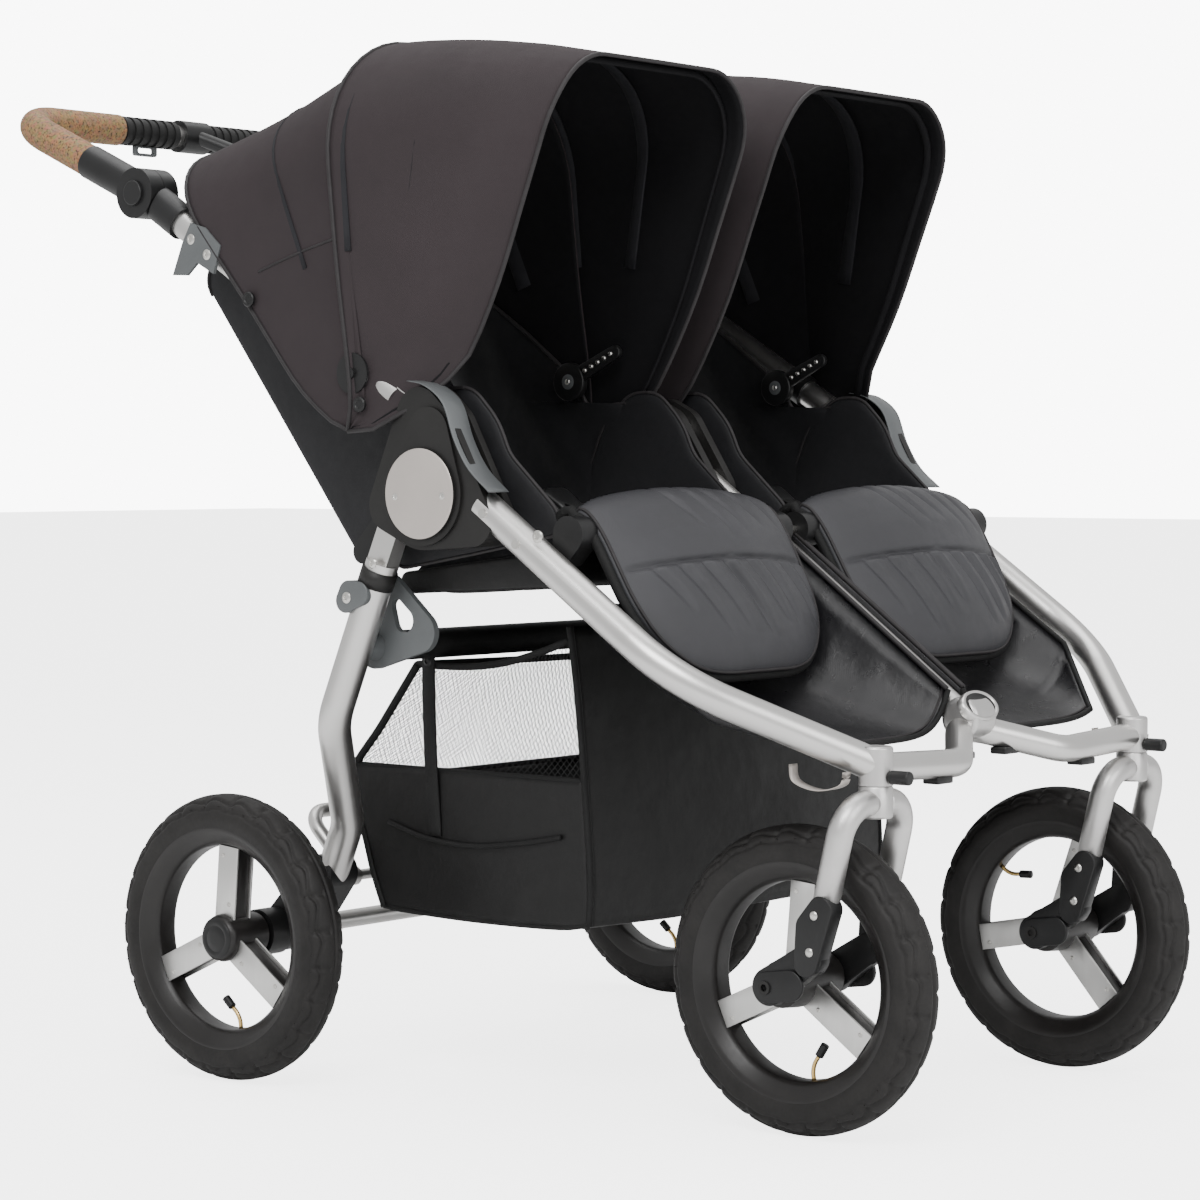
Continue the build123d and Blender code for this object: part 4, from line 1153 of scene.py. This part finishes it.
for sign, side in SIDES:
    line = spline(WELL_FLOOR, 44)
    rows = []
    columns = 44
    for i, p in enumerate(line):
        t = i / (len(line) - 1)
        ridge, rim_x, rim_z = well_sides(p.x)
        row = []
        for j in range(columns):
            w = j / (columns - 1)
            x = 13 + (rim_x - 13) * w
            slack = sin(pi * w)
            crease = noise.noise(Vector((w * 3.2, t * 3.5, sign * 3))) * 7 * slack * sin(pi * min(1, t + 0.1))
            belly = -7 * sin(pi * w) * sin(pi * min(1, t * 1.02))
            z = p.y + belly + crease + (ridge - p.y) * exp(-w / 0.07) + (rim_z - p.y) * exp(-(1 - w) / 0.09)
            bow = 8 * sin(pi * w) * t ** 6
            row.append(P(sign * x, p.x + bow, z))
        rows.append(row)
    flat = [v for row in rows for v in row]
    well = piece(f"foot_well_{side}", flat, grid_faces(len(rows), columns), "gloss_cloth", flip=sign > 0)
    thicken(well, 0.002)
    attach(well, "front_frame")
    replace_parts(well, "foot_wells")
    long_way = sum((b[0] - a[0]).length for a, b in zip(rows, rows[1:]))
    wide = max(sum((b - a).length for a, b in zip(r, r[1:])) for r in rows)
    cut = cloth_area(rows)
    long_way = max(long_way, cut / wide)
    binding = [pipe("binding", [p + Vector((0, 0, 0.001)) for p in rows[-1]], 0.003, "webbing"),
               pipe("front_piping", [p + Vector((0, 0.006, 0.003)) for p in rows[-1]], 0.0014, "piping"),
               pipe("ridge", [r[0] + Vector((sign * 0.002, 0, 0.002)) for r in rows], 0.0026, "piping"),
               pipe("rim", [r[-1] for r in rows], 0.003, "webbing")]
    edge = join(f"foot_well_binding_{side}", binding, "front_frame")
    band = spline([P(sign * 270, -634, 351), P(sign * 270, -638, 336), P(sign * 270, -664, 329),
                   P(sign * 270, -690, 335), P(sign * 270, -694, 347)], 24)
    ribbon(f"well_band_{side}", band, lambda i, p: Vector((0, 0.2, -1)), 0.014, 0.001, "badge", "front_frame")

badge_centre = P(0, -664, 391)
badge_up, badge_out = Vector((0, 0.55, 0.835)), Vector((0, -0.835, 0.55))


def badge_place(scale, lift):
    """One oval ring of the badge."""
    return [badge_centre + (Vector((30 * scale * cos(a), 0, 0)) + badge_up * (17 * scale * sin(a))) / 1000
            + badge_out * lift for a in [2 * pi * k / 48 for k in range(48)]]


BADGE_RINGS = [(1.0, -0.006), (1.0, 0.0), (0.94, 0.0025), (0.84, 0.0026), (0.82, 0.0012), (0.4, 0.0022),
               (0.02, 0.0026)]
badge_verts = [v for scale, lift in BADGE_RINGS for v in badge_place(scale, lift)]
badge = piece("crest_badge", badge_verts, grid_faces(len(BADGE_RINGS), 48, True), ["silver", "black_plastic"],
              "front_frame")
for poly in badge.data.polygons:
    poly.material_index = 1 if poly.index >= 4 * 48 else 0
HUB_BAND = [(-262, 706), (-285, 701), (-308, 684), (-322, 650), (-340, 622), (-366, 600)]
for k, x in enumerate((-130, -40, 40, 130)):
    y, z = (-701, 330) if abs(x) > 100 else (-668, 345)
    slab(f"bumper_{k}", [(y - 9, z - 3), (y + 9, z - 3), (y + 9, z + 4), (y - 9, z + 4)], x - 13, x + 13,
         "black_plastic", "front_frame", 1.5)
for sign, side in SIDES:
    strip = spline([P(sign * 371, *p) for p in HUB_BAND], 30)
    ribbon(f"hub_band_{side}", strip, lambda i, p: Vector((0, -0.9, 0.5)), 0.03, 0.0012, "grey_metal",
           "front_frame")


# ------------------------------------------------------------------ basket
FRONT_LINE = [(-352, 468), (-362, 400), (-372, 300), (-378, 220), (-376, 178)]
FLOOR_LINE = [(-376, 178), (-340, 172), (-236, 170), (-140, 172), (-107, 174)]
REAR_LINE = [(-107, 174), (-92, 210), (-79, 250), (-57, 299)]
REAR_TOP = [(-57, 299), (-105, 362), (-153, 424)]
NET_Z = 318.0
BASKET_X = 249


def basket_shell():
    """Front wall, floor and rear wall as one cloth strip with a sagging floor, and its two side walls."""
    path = spline(FRONT_LINE, 26)[:-1] + spline(FLOOR_LINE, 24)[:-1] + spline(REAR_LINE, 14)
    columns = 60
    rows = []
    for i, p in enumerate(path):
        t = i / (len(path) - 1)
        row = []
        for j in range(columns):
            w = j / (columns - 1)
            x = -250 + 500 * w
            belly = sin(pi * w)
            low = exp(-((p.y - 172) / 60) ** 2)
            sag = -5.0 * belly * low + 2.2 * noise.noise(Vector((w * 6, t * 9, 3))) * belly
            push = 4.0 * belly * sin(pi * min(1, max(0, (p.y - 176) / 260))) * (-1 if p.x < -240 else 1)
            row.append(P(x, p.x + push * (p.y > 180), p.y + sag))
        rows.append(row)
    verts = [v for row in rows for v in row]
    strip = piece("basket_strip", verts, grid_faces(len(rows), columns), "basket")
    parts = [thicken(strip, 0.0022)]
    for sign in (1, -1):
        side_rows = []
        for i in range(26):
            z = 174 + (NET_Z - 174) * i / 25
            front_y = -377 + (z - 176) * 0.045
            rear_y = at_height(spline(REAR_LINE + REAR_TOP[1:], 60), z)
            row = []
            for j in range(40):
                w = j / 39
                y = front_y + (rear_y - front_y) * w
                bulge = 7.0 * sin(pi * w) * sin(pi * min(1, i / 25 * 0.9 + 0.05))
                wrinkle = 2.0 * noise.noise(Vector((w * 5, i * 0.22, sign * 5))) * sin(pi * w)
                row.append(P(sign * (249 + bulge * 0.7 + wrinkle * 0.5), y, z - 3 * sin(pi * w) * (i == 0)))
            side_rows.append(row)
        verts = [v for row in side_rows for v in row]
        wall = piece("basket_side", verts, grid_faces(26, 40), "basket", flip=sign > 0)
        parts.append(thicken(wall, 0.0022))
    return join("basket_body", parts)


def at_height(curve, z):
    """The y of a rising curve at a height."""
    best = min(curve, key=lambda p: abs(p.y - z))
    return best.x


def net(name, rows_points, columns, rows_count):
    """A see-through net: a diamond lattice of thin cords between the rows of points."""
    verts, faces = [], []
    index = {}

    def vertex(i, j):
        if (i, j) not in index:
            index[(i, j)] = len(verts)
            row = rows_points(i / rows_count)
            verts.append(at(row, j / columns))
        return index[(i, j)]

    for i in range(0, rows_count):
        for j in range(0, columns):
            if (i + j) % 2 == 0:
                continue
            up, down = min(i + 1, rows_count), max(i - 1, 0)
            left, right = max(j - 1, 0), min(j + 1, columns)
            corners = [vertex(down, j), vertex(i, right), vertex(up, j), vertex(i, left)]
            if len(set(corners)) >= 3:
                faces.append(tuple(dict.fromkeys(corners)))
    obj = piece(name, verts, faces, "net")
    modified(obj, ("WIREFRAME", {"thickness": 0.0009, "use_replace": True, "use_boundary": True,
                                 "use_even_offset": False}))
    return obj


shell = basket_shell()
trims = []
rear_curve = spline(REAR_LINE + REAR_TOP[1:], 60)
for sign in (1, -1):
    def side_row(t, sign=sign):
        z = NET_Z + (432 - NET_Z) * t
        front = P(sign * BASKET_X, -372 + (z - 300) * 0.16, z + 22 * t)
        rear = P(sign * BASKET_X, at_height(rear_curve, min(z, 424)), min(z, 424))
        row = []
        for k in range(13):
            slack = sin(pi * k / 12) * t
            row.append(front.lerp(rear, k / 12) - Vector((sign * 0.003 * slack, 0, 0.012 * slack)))
        return row
    trims.append(net("net_side", side_row, 76, 34))
    top = side_row(1.0)
    trims.append(pipe("net_hem", top, 0.0045, "webbing", flat=0.6))
    trims.append(pipe("net_foot", side_row(0.0), 0.003, "webbing"))
    back_edge = [P(sign * BASKET_X, p.x, p.y) for p in rear_curve]
    trims.append(pipe("net_edge", back_edge, 0.0042, "webbing"))
    front_edge = [P(sign * BASKET_X, p.x, p.y) for p in spline(FRONT_LINE, 30)]
    trims.append(pipe("front_edge", front_edge, 0.0036, "webbing"))
    bottom_edge = [P(sign * BASKET_X, p.x, p.y + 1) for p in spline(FLOOR_LINE, 30)]
    trims.append(pipe("bottom_edge", bottom_edge, 0.003, "webbing"))
    strap_points = spline([P(sign * 252.5, -170, 440), P(sign * 253.5, -172, 380), P(sign * 255, -176, 318),
                           P(sign * 256.5, -180, 285), P(sign * 256.8, -183, 252)], 30)
    trims.append(ribbon("net_strap", strap_points, lambda i, p: Vector((sign, 0, 0)), 0.017, 0.0018,
                        "webbing"))
    trims.append(screw_head(sign * 254, -171, 428, sign, 5.5, "black_plastic", None, "net_snap", 2.0))
    pocket = spline([P(sign * 254.5, -118, 262), P(sign * 258, -170, 250), P(sign * 259, -230, 246),
                     P(sign * 258, -290, 252), P(sign * 254.5, -345, 262)], 40)
    trims.append(pipe("pocket_lip", pocket, 0.0026, "webbing"))


def rear_net_row(t):
    """A row of the rear net, from its foot to its hem."""
    p = at(spline(REAR_TOP, 30), t)
    row = []
    for k in range(41):
        slack = sin(pi * k / 40)
        row.append(P(-249 + 498 * k / 40, p.x + 4 * slack * sin(pi * t), p.y - 3 * slack * t))
    return row


trims.append(net("net_rear", rear_net_row, 166, 50))
trims.append(pipe("rear_hem", rear_net_row(1.0), 0.0045, "webbing", flat=0.7))
trims.append(pipe("rear_foot", rear_net_row(0.0), 0.003, "webbing"))
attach(shell, "front_frame")
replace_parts(shell, "storage_basket")
basket_trim = join("basket_net_and_bindings", trims, "front_frame")
for obj in (shell, basket_trim):
    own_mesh(obj)


# ------------------------------------------------------------------ floor, light and camera
FLOOR_REACH = 30
floor_corners = [Vector((x, y, 0)) * FLOOR_REACH for x, y in ((-1, -1), (1, -1), (1, 1), (-1, 1))]
floor = piece("floor", floor_corners, [(0, 1, 2, 3)], "floor")
world = bpy.data.worlds.new("studio")
bpy.context.scene.world = world
world.use_nodes = True
world_tree = world.node_tree
lit = world_tree.nodes["Background"]
lit.inputs["Color"].default_value = (1, 1, 1, 1)
lit.inputs["Strength"].default_value = 0.9
bright = add(world_tree, "ShaderNodeBackground", Color=(1, 1, 1, 1), Strength=9.0)
seen = add(world_tree, "ShaderNodeLightPath")
mixed = add(world_tree, "ShaderNodeMixShader")
world_tree.links.new(seen.outputs["Is Camera Ray"], mixed.inputs[0])
world_tree.links.new(lit.outputs[0], mixed.inputs[1])
world_tree.links.new(bright.outputs[0], mixed.inputs[2])
world_tree.links.new(mixed.outputs[0], world_tree.nodes["World Output"].inputs["Surface"])
floor_tree = M["floor"].node_tree
floor_bsdf = floor_tree.nodes["Principled BSDF"]
floor_bsdf.inputs["Emission Color"].default_value = (1, 1, 1, 1)
looking = add(floor_tree, "ShaderNodeLightPath")
glow = add(floor_tree, "ShaderNodeMath", operation="MULTIPLY")
glow.inputs[1].default_value = 3.4
floor_tree.links.new(looking.outputs["Is Camera Ray"], glow.inputs[0])
floor_tree.links.new(glow.outputs[0], floor_bsdf.inputs["Emission Strength"])


def area_light(name, location, target, size, power):
    data = bpy.data.lights.new(name, "AREA")
    data.shape = "RECTANGLE"
    data.size, data.size_y = size
    data.energy = power
    lamp = bpy.data.objects.new(name, data)
    bpy.context.collection.objects.link(lamp)
    lamp.location = location
    lamp.rotation_euler = (Vector(target) - Vector(location)).to_track_quat("-Z", "Y").to_euler()


area_light("key", (-2.6, -1.4, 3.0), (0, 0, 0.5), (2.2, 1.6), 90)
area_light("fill", (-0.5, -3.6, 1.8), (0, 0, 0.5), (2.4, 1.8), 45)
area_light("top", (0.4, 0.6, 3.6), (0, 0, 0.6), (3.0, 3.0), 70)

camera_data = bpy.data.cameras.new("camera")
camera = bpy.data.objects.new("camera", camera_data)
bpy.context.collection.objects.link(camera)
camera.location = (-2.7801, -2.4295 + AXLE_Y, 0.6284)
camera.rotation_euler = Vector((0.778, 0.627, -0.041)).to_track_quat("-Z", "Y").to_euler()
camera_data.sensor_width = 36
camera_data.lens = 100.97
bpy.context.scene.camera = camera
